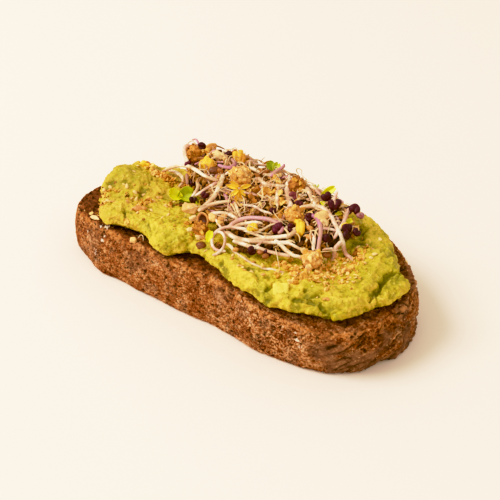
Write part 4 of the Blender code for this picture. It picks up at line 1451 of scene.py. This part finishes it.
NUTS = [  # place, turn, half sizes, tone: 0 pale, 0.5 amber, 1 red-brown
    ((-20.6, -14.8, 33.4), (60, 6, 37), (3.2, 2, 2), 0.24),
    ((-16, -18.6, 32.6), (0, 0, 60), (1.5, 1.1, 1), 0.1),
    ((-12.4, -19.6, 32.2), (0, 20, 20), (1.4, 1.1, 1), 0.35),
    ((-5.6, -26.4, 28.2), (0, 10, 20), (2.3, 1.8, 1.6), 0.9),
    ((-8.6, -23.2, 29.6), (0, 0, 50), (1.8, 1.3, 1.1), 0.12),
    ((-14.2, -23.4, 30.4), (20, 0, 50), (1.3, 1, 0.9), 0.12),
    ((-7.6, -16.6, 35.2), (20, 0, 10), (1.9, 1.5, 1.2), 0.25),
    ((-3.8, -16.4, 34.4), (0, 30, 70), (1.6, 1.1, 1), 0.3),
    ((-21.8, 2.8, 42.4), (40, 10, 37), (2.3, 1.6, 1.2), 0.92),
    ((-19.6, 3.8, 42.4), (20, 50, 37), (1.6, 1, 1.2), 0.74),
    ((-41.2, -23.2, 29.4), (38, 8, 37), (2.5, 1.5, 0.9), 0.52),
    ((-39.6, -22.2, 29.6), (38, 30, 10), (1.2, 0.9, 0.7), 0.46),
    ((-40.6, -18.6, 29.2), (10, 8, 20), (0.8, 0.6, 0.4), 0.85),
    ((-35.8, -33.9, 22), (20, 0, 30), (1.4, 1.1, 1), 0.2),
    ((39.8, -4.8, 31.2), (0, 0, 30), (1.9, 1.5, 1.1), 0.8),
    ((22.2, -21.2, 32.4), (0, 0, 80), (1.6, 1.2, 0.9), 0.8),
    ((19.2, -20.6, 32.6), (0, 0, 10), (1.5, 1.1, 0.9), 0.75),
    ((15, -21.2, 33), (10, 0, 70), (1.3, 1, 0.8), 0.85),
    ((9.8, -24, 31.8), (0, 0, 40), (1.3, 0.9, 0.7), 0.5),
    ((30, 5.6, 39.4), (40, 0, 60), (2.6, 2, 2.2), 0.2),
    ((32, 3.6, 38.2), (10, 30, 20), (1.9, 1.5, 2.1), 0.14),
    ((-26.6, 11.4, 43.6), (20, 20, 10), (2.4, 1.8, 1.5), 0.12),
    ((-22.6, 12, 42.8), (0, 40, 50), (1.8, 1.3, 1.2), 0.22),
    ((17, 5.6, 35.6), (10, 0, 70), (1.7, 1.2, 1), 0.5),
    ((29, -0.8, 37), (0, 20, 30), (1.7, 1.2, 1), 0.45),
    ((31.2, -4.4, 35.8), (10, 0, 10), (1.5, 1.2, 1), 0.5),
]
FLAKES = [  # place, turn, half sizes, tone: thin curled flakes
    ((-31.4, 13, 45.4), (79, -3, 65), (2.2, 1.5, 0.35), 0.42),
    ((-4.6, 13.6, 42.4), (59, -3, 65), (2.6, 1, 0.3), 0.75),
    ((-4.2, 10.6, 42), (43, 37, 28), (2.6, 0.9, 0.3), 0.7),
    ((-5.2, 7.8, 37.4), (53, 0, 37), (2.4, 1.4, 0.35), 0.42),
    ((3.6, 7, 39.4), (43, 37, 28), (2.6, 1.3, 0.35), 0.4),
    ((-4.2, -14.4, 35.8), (49, -24, 56), (2, 1.2, 0.4), 0.45),
    ((-58.6, -32.3, 22.6), (60, 0, 10), (2, 0.9, 0.35), 0.1),
    ((34.2, -11.8, 34.4), (43, 37, 28), (2, 1.3, 0.4), 0.12),
    ((39, -15.4, 31.4), (59, -3, 65), (2, 1.2, 0.4), 0.15),
]


def nut_colours(place):
    fine = place.grain(1.1, 3, 0.65)
    colour = (attribute(place, "tone") + (fine - 0.5) * 0.3).ramp(
        (0, (0.93, 0.7, 0.4)), (0.3, (0.84, 0.44, 0.13)), (0.6, (0.5, 0.17, 0.025)),
        (1, (0.09, 0.014, 0.004)),
    )
    return textured(colour, fine, 0.4, 0.25, 0.2)


nut_points, nut_faces = ball(3)
nut_parts = []
for i, (place, turn, size, tone) in enumerate(NUTS):
    form = lumpy(nut_points, 0.7, 0.14, i + 60)
    if tone < 0.4:
        form = lumpy(np.sign(nut_points) * np.abs(nut_points) ** 0.65, 0.6, 0.5, i + 60)
    nut_parts.append((posed(form, place, turn, size), nut_faces, tone))
for i, (place, turn, size, tone) in enumerate(FLAKES):
    form = lumpy(nut_points, 0.6, 0.45, i + 90)
    form[:, 2] += 0.9 * form[:, 0] ** 2 - 0.5 * form[:, 1]
    nut_parts.append((posed(form, place, turn, size), nut_faces, tone))


def shell(points):
    """An egg with a hollow pressed into one side, and its tones: dark inside the hollow."""
    form = points.copy()
    inside = points[:, 2] > 0.35
    form[inside] = points[inside] * np.array((0.62, 0.62, -0.45))
    return form, np.where(inside, 1.15, 0.36)


points, shades = shell(round_points)
open_shell = posed(points, (-10.4, -19.4, 34.6), (-38, -46, 143), (3.3, 2.5, 2.4))
nut_parts.append((open_shell, round_faces, shades))
nut_finish = finish("nuts and lentils", nut_colours, Coat_Weight=0.08, Coat_Roughness=0.3)
nuts = joined("nuts_and_lentils", nut_parts, nut_finish)
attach(nuts, "root")


# --- Sesame seeds ---
# Hulled sesame, flat drops under 3 mm long, cream with a few toasted ones. They are sprinkled over
# the mash, thickest in the crumb band, and a row lies on the tall dollop.

SESAME = [  # places (x, y) of the ones that lie alone
    (-56.8, -27.5), (-54.8, -26.2), (-53.9, -25.4), (-57.3, -29.1), (-63.9, -20.5), (-39.6, -15.9),
    (-40.7, -12.1), (-34.1, -15.3), (-29.6, -22.4), (-14, -23.2), (54.2, 1.3), (54.8, 4), (52.1, 9.7),
    (55, 6.5), (50.3, 18), (46.9, 7), (48.9, 10.5), (53.4, -9.4), (56.9, -12), (49, -6.7), (46.8, -2.1),
]


def sesame_shape():
    points, faces = ball(2)
    x, y, z = points.T
    return np.stack([x * 1.25, y * (0.72 - 0.28 * x), z * (0.4 - 0.1 * x)], axis=1), faces


def sesame_colours(place):
    fine = place.grain(0.8)
    shade = (attribute(place, "tone") + (fine - 0.5) * 0.3).step(0, 1)
    return textured(shade.blend((0.9, 0.62, 0.28), (0.64, 0.29, 0.065)), fine, 0.4, 0.2)


dice = random.Random(23)
sesame_spots = []


def sprinkle(count, spot, surface, toasted=0.35):
    for _ in range(count):
        x, y = spot()
        found = rest_on(surface, x * MM, y * MM)
        if not found or found[1].z < 0.3:
            continue
        place, up = found
        size = dice.uniform(0.75, 1.05)
        tone = dice.uniform(0.5, 1) if dice.random() < toasted else dice.uniform(0.1, 0.5)
        sesame_spots.append((place + up * 0.1 * MM, lying(up, dice, 0.25), (size,) * 3, 0, tone))


for lone in SESAME:
    sprinkle(1, lambda: lone, mash_skin)
sprinkle(22, around(45, -11, 6, 6), mash_skin)
sprinkle(14, around(14, -27.5, 9, 2), mash_skin)
sprinkle(16, around(-42, -17, 8, 5), mash_skin)
sprinkle(16, lambda: (dice.uniform(-62, 66), dice.uniform(-28, 24)), mash_skin)
sprinkle(40, in_heap, core_skin)
sesame = scattered("sesame_seeds", [sesame_shape()], sesame_spots, finish("sesame", sesame_colours), True)
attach(sesame, "root")


# --- Table, light and camera ---
# A pale cream table that runs out of sight, a broad soft light high on the left, and a long lens
# that looks down on the toast's long side from its wide end.

FLOOR_SIDE = 8
TONE_WHITE = 1.7  # the light that shows as white
TONES = [(0.06, 0.052), (0.3, 0.31), (0.65, 0.7), (1, 0.89), (1.3, 0.962)]  # a soft shoulder below it
TARGET = Vector((-10.85, 12.82, 0)) * MM
WINDOW, CAMERA = (-48, 48, 1.6), (37, 37, 0.495)  # azimuth, elevation and distance from the target
LENS_ANGLE = 25


def aim(thing, azimuth, elevation, distance):
    """Puts a light or camera at that azimuth, from -Y towards +X, and elevation, facing the toast."""
    a, e = math.radians(azimuth), math.radians(elevation)
    way = Vector((math.sin(a) * math.cos(e), -math.cos(a) * math.cos(e), math.sin(e)))
    thing.location = TARGET + way * distance
    thing.rotation_euler = way.to_track_quat("Z", "Y").to_euler()


def table_colours(place):
    return {"Base Color": place.grain(250).step(0.3, 0.7).blend((0.966, 0.834, 0.734), (0.973, 0.84, 0.74))}


table_mesh = bpy.data.meshes.new("table")
half = FLOOR_SIDE / 2
corners = [(-half, -half, 0), (half, -half, 0), (half, half, 0), (-half, half, 0)]
table_mesh.from_pydata(corners, [], [(0, 1, 2, 3)])
table_mesh.materials.append(finish("cream table", table_colours, roughness=0.9, Specular_IOR_Level=0.1))
table = linked("table", table_mesh)

lamp = bpy.data.lights.new("window", "AREA")
lamp.shape, lamp.size, lamp.energy, lamp.color = "DISK", 0.8, 17.5, (1, 0.97, 0.92)
aim(linked("window", lamp), *WINDOW)

world = bpy.data.worlds.new("room")
world.use_nodes = True
world.node_tree.nodes["Background"].inputs["Color"].default_value = (1, 0.91, 0.78, 1)
world.node_tree.nodes["Background"].inputs["Strength"].default_value = 0.82
bpy.context.scene.world = world
view = bpy.context.scene.view_settings
view.view_transform, view.use_curve_mapping = "Standard", True
view.curve_mapping.black_level = (0, 0.002, 0.015)
view.curve_mapping.white_level = (TONE_WHITE,) * 3
tone_curve = view.curve_mapping.curves[3]
for light, shown in TONES:
    tone_curve.points.new(light / TONE_WHITE, shown)
view.curve_mapping.update()

camera_data = bpy.data.cameras.new("camera")
camera_data.angle = math.radians(LENS_ANGLE)
camera_data.clip_start, camera_data.clip_end = 0.01, 50
camera = linked("camera", camera_data)
aim(camera, *CAMERA)
bpy.context.scene.camera = camera
